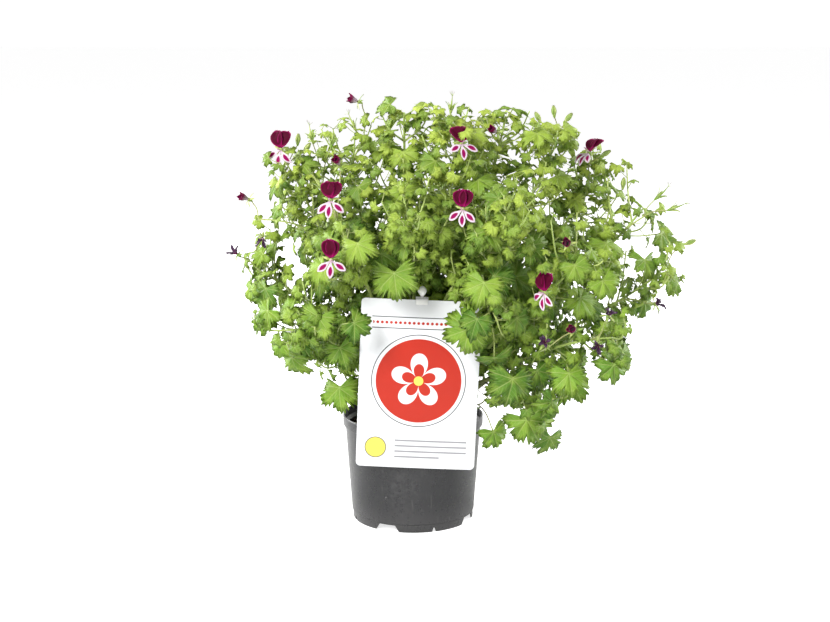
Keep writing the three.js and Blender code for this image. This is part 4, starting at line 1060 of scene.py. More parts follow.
def half_bloom(flower, materials):
    """A flower that is just opening: its petals still stand together as a tube."""
    growth = Growth()
    dice = Dice(OPENING_SEED + flower.number)
    for degrees in OPENING_TURNS:
        open_by = dice.between(0.75, 1.35)
        end = (3.4 * open_by, dice.between(8.6, 10))
        path = [(0.5, -0.5), (2.2, 3.0), (2.9 * open_by, 6.4), end]
        way = turned(flower, degrees + dice.between(-8, 8))
        petal(growth, flower.head, flower.face, way, path, FOLDED_PETAL, 0, dice, cup=0.9,
              ruffle=0.05, columns=9, rows=11)
    path = [(0.1, 0), (0.8, 3.5), (0.9, 7), (0.2, 9.5)]
    petal(growth, flower.head, flower.face, turned(flower, INNER_TURN), path, FOLDED_PETAL, 0, dice,
          cup=0.8, columns=7, rows=9)
    return growth.finish(f"opening_bloom_{flower.number:02d}", materials)


def faded_bloom(flower, materials):
    """A dry flower: narrow petals that have shrunk and curled."""
    growth = Growth()
    dice = Dice(DRY_SEED + flower.number)
    for k, degrees in enumerate(DRY_TURNS):
        lift = 3 + 5 * (k % 2)
        end = (6.4 + dice.between(-1, 1), lift)
        path = [(0.5, -0.3), (2.4, 1.6 + 0.2 * lift), (4.8, 0.9 * lift), end]
        way = turned(flower, degrees + dice.between(-9, 9))
        petal(growth, flower.head, flower.face, way, path, DRY_PETAL, 0, dice, cup=0.7,
              curl=dice.between(-0.2, 0.3), ruffle=0.16, columns=7, rows=11, thickness=0.5)
    for _ in range(DRY_STAMENS):
        way = unit(flower.face + 0.8 * dice.way())
        t = np.linspace(0, 1, 6)
        line = flower.head + np.outer(9 * t, way) - np.outer(4 * t ** 2, UP)
        tube(growth, line, np.linspace(0.3, 0.16, 6), 5, 0)
    return growth.finish(f"dry_bloom_{flower.number:02d}", materials)


# Materials.


class Nodes:
    """Adds and links the nodes of one material or group."""

    def __init__(self, tree):
        self.tree = tree

    def add(self, kind, inputs=None, **values):
        node = self.tree.nodes.new(kind)
        for key, value in values.items():
            setattr(node, key, value)
        for key, value in (inputs or {}).items():
            self.put(value, node.inputs[key])
        return node

    def put(self, value, socket):
        if isinstance(value, bpy.types.Node):
            value = next(s for s in value.outputs if s.enabled)
        if isinstance(value, bpy.types.NodeSocket):
            self.tree.links.new(value, socket)
        elif hasattr(value, "__len__"):
            value = tuple(value)
            full = (*value, 1.0) if len(value) == 3 and socket.type == "RGBA" else value
            socket.default_value = full
        else:
            socket.default_value = value

    def math(self, operation, a, b=None, c=None, clamp=False):
        inputs = {i: v for i, v in enumerate((a, b, c)) if v is not None}
        return self.add("ShaderNodeMath", inputs, operation=operation, use_clamp=clamp)

    def times(self, a, b, clamp=False):
        return self.math("MULTIPLY", a, b, clamp=clamp)

    def plus(self, a, b, clamp=False):
        return self.math("ADD", a, b, clamp=clamp)

    def minus(self, a, b):
        return self.math("SUBTRACT", a, b)

    def larger(self, a, b):
        return self.math("MAXIMUM", a, b)

    def scaled(self, value, factor, added):
        return self.math("MULTIPLY_ADD", value, factor, added)

    def away(self, value, middle):
        """How far a value is from a middle one."""
        return self.math("ABSOLUTE", self.minus(value, middle))

    def reach(self, a, b):
        """How far a point is away, from how far it is aside and how far it is above."""
        return self.math("SQRT", self.plus(self.times(a, a), self.times(b, b)))

    def mix(self, factor, a, b):
        node = self.add("ShaderNodeMix", data_type="RGBA")
        self.put(factor, node.inputs[0])
        self.put(a, node.inputs[6])
        self.put(b, node.inputs[7])
        return node.outputs[2]

    def ramp(self, value, low, high, to_low=0.0, to_high=1.0):
        return self.add("ShaderNodeMapRange", {0: value, 1: low, 2: high, 3: to_low, 4: to_high},
                        interpolation_type="SMOOTHSTEP")

    def noise(self, vector, scale, detail, roughness=0.55):
        inputs = {"Vector": vector, "Scale": scale, "Detail": detail, "Roughness": roughness}
        return self.add("ShaderNodeTexNoise", inputs).outputs["Fac"]

    def place(self):
        """Where a point lies, in metres."""
        return self.add("ShaderNodeTexCoord").outputs["Object"]

    def split(self, vector):
        return self.add("ShaderNodeSeparateXYZ", {0: vector}).outputs

    def on_map(self):
        """Where a point lies on its piece's own map: across and up."""
        return self.split(self.add("ShaderNodeUVMap", uv_map="shape"))[:2]

    def marks(self):
        """The three values that a piece's points carry."""
        mark = self.add("ShaderNodeAttribute", attribute_name="mark").outputs["Color"]
        return self.add("ShaderNodeSeparateColor", {0: mark}).outputs

    def placed(self, tree, inputs):
        """A node group with its values here, and what it puts out."""
        group = self.add("ShaderNodeGroup", node_tree=tree)
        for key, value in inputs.items():
            self.put(value, group.inputs[key])
        return group.outputs

    def speckle(self, scale):
        return self.placed(speckle_group(), {"Scale": scale})[:2]

    def bump(self, strength, distance, height):
        inputs = {"Strength": strength, "Distance": distance, "Height": height}
        return self.add("ShaderNodeBump", inputs)

    def surface(self, colour, roughness, gloss=0.5, more=None):
        """A surface with its colour, its roughness and the strength of its shine."""
        return self.add("ShaderNodeBsdfPrincipled", {
            "Base Color": colour, "Roughness": roughness, "Specular IOR Level": gloss,
            **(more or {})})

    def lit_through(self, share, surface, colour, more=None):
        """A thin surface that lets a share of the light through."""
        light = self.add("ShaderNodeBsdfTranslucent", {"Color": colour, **(more or {})})
        return self.add("ShaderNodeMixShader", {0: share, 1: surface, 2: light})


class MaterialNodes(Nodes):
    """The nodes of a new material."""

    def __init__(self, name):
        self.material = bpy.data.materials.new(name)
        self.material.use_nodes = True
        super().__init__(self.material.node_tree)
        self.tree.nodes.clear()

    def finish(self, shader):
        self.put(shader, self.add("ShaderNodeOutputMaterial").inputs["Surface"])
        return self.material


def node_group(name, inputs, outputs, fill):
    """A node group with named sockets, which is built once and then found by its name."""
    if name in bpy.data.node_groups:
        return bpy.data.node_groups[name]
    tree = bpy.data.node_groups.new(name, "ShaderNodeTree")
    for side, sockets in (("INPUT", inputs), ("OUTPUT", outputs)):
        for socket in sockets:
            tree.interface.new_socket(socket, in_out=side, socket_type="NodeSocketFloat")
    nodes = Nodes(tree)
    fill(nodes, nodes.add("NodeGroupInput").outputs, nodes.add("NodeGroupOutput").inputs)
    return tree


def speckle_group():
    """Blotches and grain over a colour: used by the leaves, the soil and the plastics."""
    def fill(nodes, given, result):
        place = nodes.place()
        nodes.put(nodes.noise(place, given["Scale"], 2.0), result["Blotch"])
        fine = nodes.times(given["Scale"], 9.0)
        nodes.put(nodes.noise(place, fine, 4.0, 0.7), result["Grain"])
    return node_group("soft_speckle", ["Scale"], ["Blotch", "Grain"], fill)


def streak_group():
    """Streaks along a petal, from where a point lies on its map: used by all petals."""
    def fill(nodes, given, result):
        across = nodes.times(given["Across"], given["Streaks"])
        along = nodes.times(given["Along"], 2.2)
        place = nodes.add("ShaderNodeCombineXYZ", {0: across, 1: along})
        nodes.put(nodes.noise(place, 1.0, 2.0, 0.5), result["Streak"])
    return node_group("petal_streaks", ["Across", "Along", "Streaks"], ["Streak"], fill)


# The scale that brings a blade's map back to shares of its radius, the degrees from one main
# vein to the middle of the gap beside it, and how dense and how slanted the side veins are.
MAP_SCALE, VEIN_FOLD, SIDE_VEINS, VEIN_SLANT = 2.22, 26.0, 7.0, 9.0


def leaf_veins(nodes):
    """Main veins from the stalk to each lobe, with slanting veins at their sides."""
    x, y = (nodes.scaled(side, MAP_SCALE, -MAP_SCALE / 2) for side in nodes.on_map())
    reach = nodes.reach(x, y)
    angle = nodes.math("DEGREES", nodes.math("ARCTAN2", x, y))
    fold = nodes.math("PINGPONG", angle, VEIN_FOLD)
    off = nodes.times(nodes.math("RADIANS", fold), reach)
    main = nodes.ramp(off, 0.008, 0.03, 1.0, 0.0)
    comb = nodes.minus(nodes.times(reach, SIDE_VEINS), nodes.times(off, VEIN_SLANT))
    side = nodes.ramp(nodes.away(nodes.math("FRACT", comb), 0.5), 0.02, 0.11, 0.5, 0.0)
    return nodes.larger(main, side)


def leaf_material(s):
    nodes = MaterialNodes("geranium_leaf")
    veins = leaf_veins(nodes)
    tone, youth, under = nodes.marks()[:3]
    blotch, grain = nodes.speckle(90.0)
    green = nodes.mix(nodes.ramp(tone, 0.0, 0.85), s.deep, s.leaf)
    green = nodes.mix(nodes.times(youth, nodes.ramp(tone, -0.4, 1.1)), green, s.young)
    green = nodes.mix(nodes.ramp(blotch, 0.35, 0.75, 0.0, 0.3), green, s.young)
    green = nodes.mix(nodes.ramp(grain, 0.3, 0.75, 0.0, 0.22), green, s.deep)
    green = nodes.mix(nodes.times(veins, 0.38), green, s.vein)
    green = nodes.mix(nodes.times(under, 0.42), green, s.vein)
    bump = nodes.bump(0.55, 0.6 * MM, nodes.minus(nodes.times(grain, 0.5), veins))
    surface = nodes.surface(green, nodes.ramp(grain, 0.3, 0.7, 0.40, 0.58), 0.40, {"Normal": bump})
    through = nodes.mix(0.35, green, s.young)
    shader = nodes.lit_through(s.shine_through, surface, through, {"Normal": bump})
    return nodes.finish(shader)


# Where the stems are old and brown: up to heights and distances from the frame's middle, in
# metres, between which the brown fades.
OLD_HEIGHTS, OLD_REACH = (0.135, 0.20), (0.065, 0.08)


def stem_material(s):
    nodes = MaterialNodes("geranium_stem")
    tone, _, flush = nodes.marks()[:3]
    blotch, grain = nodes.speckle(120.0)
    green = nodes.mix(nodes.ramp(tone, 0.0, 1.0, 0.0, 0.4), s.stem, s.leaf)
    x, y, z = nodes.split(nodes.place())
    low = nodes.ramp(nodes.scaled(blotch, 0.03, z), *OLD_HEIGHTS, 0.85, 0.0)
    old = nodes.times(low, nodes.ramp(nodes.reach(x, y), *OLD_REACH, 1.0, 0.0))
    green = nodes.mix(old, green, s.wood)
    green = nodes.mix(nodes.ramp(grain, 0.35, 0.75, 0.0, 0.35), green, s.deep)
    green = nodes.mix(nodes.times(flush, nodes.ramp(blotch, 0.3, 0.7, 0.3, 0.95)), green, s.blush)
    bump = nodes.bump(0.4, 0.4 * MM, grain)
    surface = nodes.surface(green, 0.5, 0.4, {"Sheen Weight": 0.25, "Normal": bump})
    return nodes.finish(surface)


def cup_material(s):
    nodes = MaterialNodes("geranium_calyx")
    tone, _, flush = nodes.marks()[:3]
    across, along = nodes.on_map()
    _, grain = nodes.speckle(200.0)
    ribs = nodes.ramp(nodes.away(across, 0.5), 0.02, 0.2, 0.5, 0.0)
    green = nodes.mix(tone, s.leaf, s.stem)
    green = nodes.mix(nodes.times(ribs, 0.6), green, s.vein)
    tips = nodes.ramp(along, 0.55, 1.0, 0.15, 1.0)
    green = nodes.mix(nodes.times(flush, tips, clamp=True), green, s.blush)
    bump = nodes.bump(0.4, 0.3 * MM, grain)
    surface = nodes.surface(green, 0.55, more={"Sheen Weight": 0.3, "Normal": bump})
    return nodes.finish(nodes.lit_through(0.18, surface, green))


class PetalNodes(MaterialNodes):
    """The nodes of a petal, with what its colours are mixed by: how far a point lies from the
    petal's middle line and along it, the streaks and the grain."""

    def __init__(self, name):
        super().__init__(name)
        side, self.along = self.on_map()
        _, self.grain = self.speckle(160.0)
        self.across = self.math("ABSOLUTE", self.scaled(side, 2.0, -1.0))
        inputs = {"Across": side, "Along": self.along, "Streaks": 26.0}
        self.streak = self.placed(streak_group(), inputs)["Streak"]

    def painted(self, paint, depth, gloss=0.12, through=0.22):
        """The material, with streaks of a depth in relief."""
        bump = self.bump(0.35, depth, self.streak)
        surface = self.surface(paint, 0.6, gloss, {"Normal": bump})
        return self.finish(self.lit_through(through, surface, paint))


def dark_petal_material(s):
    """Burgundy in the middle, magenta round it and a pale rim."""
    petal = PetalNodes("dark_petal")
    outer = petal.scaled(petal.along, 2.05, -1.05)
    inner = petal.scaled(petal.along, -1.7, 0.98)
    lengthwise = petal.math("POWER", petal.larger(petal.larger(outer, inner), 0.0), 2.6)
    crosswise = petal.math("POWER", petal.times(petal.across, 0.74), 2.6)
    reach = petal.math("POWER", petal.plus(crosswise, lengthwise), 0.385)
    reach = petal.plus(reach, petal.scaled(petal.streak, 0.16, -0.08))
    paint = petal.mix(petal.ramp(reach, 0.55, 0.93), s.burgundy, s.magenta)
    rim = petal.times(petal.ramp(reach, 0.93, 1.02), petal.ramp(petal.along, 0.35, 0.7, 0.15, 1.0))
    return petal.painted(petal.mix(rim, paint, s.white), 0.4 * MM, gloss=0.08, through=0.16)


def light_petal_material(s):
    """White, with a magenta patch near the end and streaks in the throat."""
    petal = PetalNodes("light_petal")
    lengthwise = petal.math("DIVIDE", petal.away(petal.along, 0.66), 0.27)
    crosswise = petal.math("DIVIDE", petal.across, 0.62)
    reach = petal.reach(lengthwise, crosswise)
    reach = petal.plus(reach, petal.scaled(petal.streak, 0.5, -0.25))
    throat = petal.ramp(petal.along, 0.05, 0.4, 0.6, 0.0)
    throat = petal.times(throat, petal.ramp(petal.streak, 0.4, 0.6))
    paint = petal.mix(throat, s.white, s.magenta)
    paint = petal.mix(petal.ramp(reach, 0.75, 1.05, 1.0, 0.0), paint, s.magenta)
    return petal.painted(paint, 0.3 * MM, through=0.3)


def opening_petal_material(s):
    """White at the root, magenta above, with burgundy streaks."""
    petal = PetalNodes("opening_petal")
    paint = petal.mix(petal.ramp(petal.along, 0.25, 0.7), s.white, s.magenta)
    paint = petal.mix(petal.ramp(petal.streak, 0.35, 0.65, 0.2, 0.85), paint, s.burgundy)
    return petal.painted(paint, 0.4 * MM)


def dry_petal_material(s):
    """Dull purple, magenta near the root, with pale streaks."""
    petal = PetalNodes("dry_petal")
    paint = petal.mix(petal.ramp(petal.along, 0.0, 0.45, 0.55, 0.0), s.faded, s.magenta)
    paint = petal.mix(petal.ramp(petal.streak, 0.5, 0.75, 0.0, 0.5), paint, s.white)
    paint = petal.mix(petal.ramp(petal.grain, 0.4, 0.8, 0.0, 0.7), paint, s.faded)
    return petal.painted(paint, 0.8 * MM, through=0.1)


def grainy_material(name, scale, low, high, roughness):
    """A plain finish of two colours that its grain mixes."""
    nodes = MaterialNodes(name)
    _, grain = nodes.speckle(scale)
    colour = nodes.mix(nodes.ramp(grain, 0.3, 0.7), low, high)
    return nodes.finish(nodes.surface(colour, roughness))


def pot_material(s):
    nodes = MaterialNodes("nursery_pot_plastic")
    place = nodes.place()
    height = nodes.split(place)[2]
    blotch, grain = nodes.speckle(26.0)
    drawn_out = nodes.add("ShaderNodeMapping", {"Vector": place, "Scale": (260.0, 260.0, 14.0)})
    scuffs = nodes.noise(drawn_out, 1.0, 3.0, 0.7)
    dust = nodes.times(nodes.ramp(blotch, 0.45, 0.8), nodes.ramp(grain, 0.35, 0.8))
    low = nodes.ramp(height, 0.0, 30 * MM, 0.35, 0.0)
    wear = nodes.plus(nodes.times(dust, 0.5), low, clamp=True)
    base = nodes.mix(nodes.times(wear, 0.45), s.plastic, s.dust)
    base = nodes.mix(nodes.ramp(scuffs, 0.62, 0.8, 0.0, 0.22), base, s.dust)
    rings = nodes.math("SINE", nodes.times(height, 2600.0))
    relief = nodes.plus(nodes.times(grain, 0.6), nodes.times(rings, 0.05))
    bump = nodes.bump(0.16, 0.4 * MM, relief)
    rough = nodes.ramp(nodes.plus(grain, nodes.times(scuffs, 0.5)), 0.4, 1.1, 0.24, 0.36)
    return nodes.finish(nodes.surface(base, rough, 0.55, {"Normal": bump}))


def soil_material(s):
    nodes = MaterialNodes("potting_soil")
    blotch, grain = nodes.speckle(110.0)
    inputs = {"Vector": nodes.place(), "Scale": 420.0}
    clods = nodes.add("ShaderNodeTexVoronoi", inputs).outputs["Distance"]
    base = nodes.mix(nodes.ramp(grain, 0.45, 0.8), s.peat, s.fibre)
    base = nodes.mix(nodes.ramp(blotch, 0.3, 0.7, 0.6, 0.0), base, s.peat)
    bump = nodes.bump(0.9, 1.6 * MM, nodes.minus(grain, nodes.times(clods, 0.7)))
    return nodes.finish(nodes.surface(base, 0.95, 0.15, {"Normal": bump}))


# The card's print, in millimetres from the middle of its lower edge: each disc is its middle
# and its rings, from the widest in, and each block of stripes its middle and half its sides.
LARGE_DISC = ((0, 80), ((42.0, "ink"), (41.2, "paper"), (38.0, "red")))
SMALL_DISC = ((-36, 18), ((9.6, "ink"), (8.9, "yellow")))
FLOWER_PETALS, PETAL_ROOT, PETAL_RISE, PETAL_INSIDE, HEART_RADIUS = 5, 6.0, 19.0, 0.62, 4.2
BAND_HEIGHT, RAIL_OFFSET, HALF_RAIL, RAIL_REACH = 132.0, 5.0, 0.4, 43
DOT_SPACING, DOT_RADIUS, DOT_REACH = 4.0, 1.3, 42
STRIPE_SPACING, HALF_STRIPE = 2.5, 0.8
STRIPE_BLOCKS = ((13, 20, 32, 8.6), (1, 8.7, 20, 2.4))
STRIPE_GREY = (0.30, 0.30, 0.31)


class PrintNodes(MaterialNodes):
    """The nodes of the card's print, with a point's place on it in millimetres."""

    def __init__(self, name, s):
        super().__init__(name)
        across, up = self.on_map()
        self.x = self.scaled(across, s.width / MM, -0.5 * s.width / MM)
        self.z = self.times(up, s.height / MM)

    def within(self, value, limit, soft=0.16):
        return self.ramp(value, limit - soft, limit + soft, 1.0, 0.0)

    def box(self, x, z, half_x, half_z):
        """1 inside a box round a place and 0 outside it, with a soft edge."""
        aside = self.minus(self.away(self.x, x), half_x)
        above = self.minus(self.away(self.z, z), half_z)
        return self.within(self.larger(aside, above), 0.0)

    def disc(self, s, paint, disc):
        """A disc of rings over the paint, and how far a point is from its middle, with the
        steps there across and up."""
        (x, z), rings = disc
        steps = self.minus(self.x, x), self.minus(self.z, z)
        away = self.reach(*steps)
        for radius, ink in rings:
            paint = self.mix(self.within(away, radius), paint, getattr(s, ink))
        return paint, away, steps


def card_material(s):
    """A row of dots between two lines, a large disc with a five-petalled flower, a small disc
    and plain stripes."""
    nodes = PrintNodes("card_print", s)
    paint, away, steps = nodes.disc(s, s.paper, LARGE_DISC)
    turn = nodes.times(nodes.math("ARCTAN2", *steps), FLOWER_PETALS / 2)
    petals = nodes.math("ABSOLUTE", nodes.math("COSINE", turn))
    reach = nodes.scaled(nodes.math("POWER", petals, 0.6), PETAL_RISE, PETAL_ROOT)
    paint = nodes.mix(nodes.within(nodes.minus(away, reach), 0.0, 0.3), paint, s.paper)
    inside = nodes.minus(away, nodes.times(reach, PETAL_INSIDE))
    paint = nodes.mix(nodes.within(inside, 0.0, 0.3), paint, s.red)
    paint = nodes.mix(nodes.within(away, HEART_RADIUS), paint, s.yellow)
    row = nodes.minus(nodes.z, BAND_HEIGHT)
    rails = nodes.within(nodes.away(nodes.math("ABSOLUTE", row), RAIL_OFFSET), HALF_RAIL)
    band = nodes.box(0, BAND_HEIGHT, RAIL_REACH, RAIL_OFFSET + 3)
    paint = nodes.mix(nodes.times(rails, band), paint, s.ink)
    cell = nodes.minus(nodes.math("PINGPONG", nodes.x, DOT_SPACING), DOT_SPACING / 2)
    dots = nodes.within(nodes.reach(cell, row), DOT_RADIUS)
    band = nodes.box(0, BAND_HEIGHT, DOT_REACH, RAIL_OFFSET - 1)
    paint = nodes.mix(nodes.times(dots, band), paint, s.red)
    stripe = nodes.within(nodes.math("PINGPONG", nodes.z, STRIPE_SPACING), HALF_STRIPE)
    blocks = nodes.larger(*(nodes.box(*block) for block in STRIPE_BLOCKS))
    paint = nodes.mix(nodes.times(stripe, blocks), paint, STRIPE_GREY)
    paint = nodes.disc(s, paint, SMALL_DISC)[0]
    blotch, grain = nodes.speckle(70.0)
    paint = nodes.mix(nodes.ramp(blotch, 0.4, 0.8, 0.0, 0.04), paint, s.ink)
    bump = nodes.bump(0.05, 0.2 * MM, grain)
    rough = nodes.ramp(grain, 0.3, 0.7, 0.28, 0.4)
    return nodes.finish(nodes.surface(paint, rough, 0.3, {"Normal": bump}))


def perlite_material():
    return grainy_material("perlite", 160.0, (0.30, 0.27, 0.22), (0.62, 0.60, 0.55), 0.9)


def stamen_material(s):
    return grainy_material("stamen", 300.0, s.magenta, s.white, 0.5)


def stick_material(s):
    nodes = MaterialNodes("stick_plastic")
    blotch, grain = nodes.speckle(60.0)
    base = nodes.mix(nodes.ramp(blotch, 0.4, 0.8, 0.0, 0.18), s.plastic, (0.55, 0.55, 0.52))
    more = {"Subsurface Weight": 0.15, "Subsurface Radius": (4 * MM, 4 * MM, 4 * MM),
            "Subsurface Scale": 0.5, "Normal": nodes.bump(0.1, 0.3 * MM, grain)}
    return nodes.finish(nodes.surface(base, 0.38, more=more))


def floor_material(s):
    nodes = MaterialNodes("pale_floor")
    seen = nodes.add("ShaderNodeLightPath").outputs["Is Camera Ray"]
    more = {"Emission Color": (1.0, 1.0, 1.0), "Emission Strength": nodes.times(seen, s.glow)}
    return nodes.finish(nodes.surface(tuple(s.floor), 0.9, 0.1, more))


# Pieces modelled as by hand. The small lengths of a piece stand above it: one that is given times
# MM is in metres, and any other in millimetres.


def deselect():
    if bpy.context.object and bpy.context.object.mode != "OBJECT":
        bpy.ops.object.mode_set(mode="OBJECT")
    bpy.ops.object.select_all(action="DESELECT")


def make_active(piece):
    deselect()
    piece.select_set(True)
    bpy.context.view_layer.objects.active = piece


def settle(piece, name, place=Matrix.Identity(4)):
    """Names a piece and puts its place into its mesh."""
    piece.name = name
    piece.data.name = name
    bpy.context.view_layer.update()
    piece.data.transform(place @ piece.matrix_world)
    piece.matrix_world = Matrix.Identity(4)
    return piece


def open_whole():
    """Opens the active piece for editing, with all of it selected."""
    bpy.ops.object.mode_set(mode="EDIT")
    bpy.ops.mesh.select_all(action="SELECT")


def close_outwards():
    """Turns all faces outwards and ends the editing."""
    bpy.ops.mesh.select_all(action="SELECT")
    bpy.ops.mesh.normals_make_consistent(inside=False)
    bpy.ops.object.mode_set(mode="OBJECT")


def drawn_rings(rings, sides):
    """A turned body: a circle drawn out ring by ring, each a radius and a height, with its
    first and last rings filled."""
    deselect()
    radius, height = rings[0]
    bpy.ops.mesh.primitive_circle_add(vertices=sides, radius=radius, fill_type="NGON",
                                      location=(0, 0, height))
    piece = bpy.context.object
    open_whole()
    for (r0, z0), (r1, z1) in zip(rings, rings[1:]):
        bpy.ops.mesh.extrude_region_move(TRANSFORM_OT_translate={"value": (0, 0, z1 - z0)})
        bpy.ops.transform.resize(value=(r1 / r0, r1 / r0, 1), center_override=(0, 0, z1))
    close_outwards()
    return piece


def apply_modifier(piece, kind, **values):
    make_active(piece)
    modifier = piece.modifiers.new(kind.lower(), kind)
    for key, value in values.items():
        setattr(modifier, key, value)
    bpy.ops.object.modifier_apply(modifier=modifier.name)


def bevel(piece, width, degrees):
    """Rounds the edges that are sharper than an angle."""
    apply_modifier(piece, "BEVEL", width=width, segments=2, limit_method="ANGLE",
                   angle_limit=math.radians(degrees))


def joined(pieces):
    make_active(pieces[0])
    for piece in pieces[1:]:
        piece.select_set(True)
    bpy.ops.object.join()
    return bpy.context.object


def new_cube():
    deselect()
    bpy.ops.mesh.primitive_cube_add(size=1, location=(0, 0, 0))
    return bpy.context.object


def smooth(piece, degrees):
    make_active(piece)
    bpy.ops.object.shade_smooth_by_angle(angle=math.radians(degrees))


def finished(piece, node, slot):
    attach(piece, "root")
    for one in [node] if isinstance(node, str) else node:
        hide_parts(one)
    return piece


# The pot's rounding and the steps of its edges, and the two heights of the fine line above its
# feet.
ROUNDING, EDGE, SOFT_EDGE, LINE_LOW, LINE_HIGH = 0.35 * MM, 0.3 * MM, 0.5 * MM, 0.6 * MM, 1.4 * MM

# The gaps between the feet, with half their width in degrees and their slope, and the narrow
# notches between them.
FEET, FIRST_GAP, HALF_GAP = 4, -115, 10
GAP_BELOW, GAP_ABOVE, CUTTER_DEPTH = 2.4 * MM, 2.2 * MM, 12 * MM
NOTCH_BELOW, NOTCH_ABOVE, NOTCH_HEIGHT = 2.25 * MM, 0.5 * MM, 4 * MM

# The drain holes in the floor, and the small moulding mark on the front.
DRAINS, DRAIN_RADIUS, DRAIN_RING = 6, 4 * MM, 38 * MM
MARK_TURN, MARK_HEIGHT, MARK_RADIUS, MARK_FLATNESS = -114, 32 * MM, 1.7 * MM, 0.5


class GERANIUM_OT_pot(Operator):
    """Model the nursery pot"""
    bl_idname = "geranium.pot"
    bl_label = "Nursery Pot"

    def execute(self, context):
        s = context.scene.geranium_pot
        pot = drawn_rings(self.profile(s), s.sides)
        bevel(pot, ROUNDING, 50)
        for cutter in [*self.foot_gaps(s), *self.drains(s)]:
            apply_modifier(pot, "BOOLEAN", object=cutter, operation="DIFFERENCE", solver="EXACT")
            bpy.data.objects.remove(cutter)
        pot = joined([pot, self.moulding_mark(s)])
        smooth(pot, 32)
        settle(pot, "nursery_pot", Matrix.Translation(POT_AXIS))
        pot.data.materials.append(pot_material(s))
        finished(pot, "pot", "pot_plastic")
        return {"FINISHED"}

    def profile(self, s):
        """The pot's section, from the inside of the foot ring round the lip to the floor."""
        wall, foot, top, lip = s.wall, s.foot_radius, s.top_radius, s.lip_radius
        shoulder, low = s.height - s.lip_height, s.foot_height
        floor_edge = foot + (top - foot) * (low + wall) / (shoulder - MM) - wall
        return [
            (foot - wall, low), (foot - wall, 0.0), (foot - SOFT_EDGE, 0.0),
            (foot - EDGE, low + LINE_LOW), (foot + SOFT_EDGE, low + LINE_HIGH),
            (top, shoulder - MM), (lip - EDGE, shoulder - 0.2 * MM), (lip, shoulder + EDGE),
            (lip, s.height - SOFT_EDGE), (lip - SOFT_EDGE, s.height),
            (lip - wall + EDGE, s.height), (lip - wall, s.height - EDGE), (lip - wall, shoulder + MM),
            (top - wall, shoulder - 1.6 * MM), (floor_edge, low + wall),
        ]

    def foot_gaps(self, s):
        half = math.radians(HALF_GAP) * s.foot_radius
        for i in range(FEET):
            middle = math.radians(FIRST_GAP + 360 / FEET * i)
            yield self.wedge(s, middle, half + GAP_BELOW, half - GAP_ABOVE, s.foot_height - 0.4 * MM)
            yield self.wedge(s, middle + math.pi / FEET, NOTCH_BELOW, NOTCH_ABOVE, NOTCH_HEIGHT)

    def wedge(self, s, turn, half_below, half_above, height):
        """A wedge that cuts a gap with sloping sides out of the foot ring."""
        cutter = new_cube()
        for vertex in cutter.data.vertices:
            half = half_above if vertex.co.z > 0 else half_below
            vertex.co = (vertex.co.x * CUTTER_DEPTH + s.foot_radius - MM, vertex.co.y * 2 * half,
                         height if vertex.co.z > 0 else -MM)
        cutter.data.transform(Matrix.Rotation(turn, 4, "Z"))
        return cutter

    def drains(self, s):
        for i in range(DRAINS):
            turn = 2 * math.pi * (i + 0.5) / DRAINS
            place = (DRAIN_RING * math.cos(turn), DRAIN_RING * math.sin(turn), s.foot_height)
            deselect()
            bpy.ops.mesh.primitive_cylinder_add(vertices=24, radius=DRAIN_RADIUS,
                                                depth=CUTTER_DEPTH, location=place)
            yield bpy.context.object

    def moulding_mark(self, s):
        """A flattened pimple on the wall."""
        turn, shoulder = math.radians(MARK_TURN), s.height - s.lip_height
        out = s.foot_radius + (s.top_radius - s.foot_radius) * MARK_HEIGHT / shoulder
        place = (out * math.cos(turn), out * math.sin(turn), MARK_HEIGHT)
        deselect()
        bpy.ops.mesh.primitive_uv_sphere_add(segments=16, ring_count=10, radius=MARK_RADIUS,
                                             location=place)
        mark = bpy.context.object
        mark.data.transform(Matrix.Rotation(-turn, 4, "Z"))
        mark.data.transform(Matrix.Diagonal((MARK_FLATNESS, 1, 1, 1)))
        mark.data.transform(Matrix.Rotation(turn, 4, "Z"))
        return mark


# The gap between soil and pot, the number of the soil's rings and of its waves, and the height
# of the waves and of the fine roughness on them.
SOIL_GAP, SOIL_RINGS, SOIL_WAVES, WAVE_HEIGHT, ROUGH_HEIGHT = 0.6 * MM, 26, 14, 3.4, 0.9

# One crumb in so many is a white grain.
WHITE_GRAIN = 9


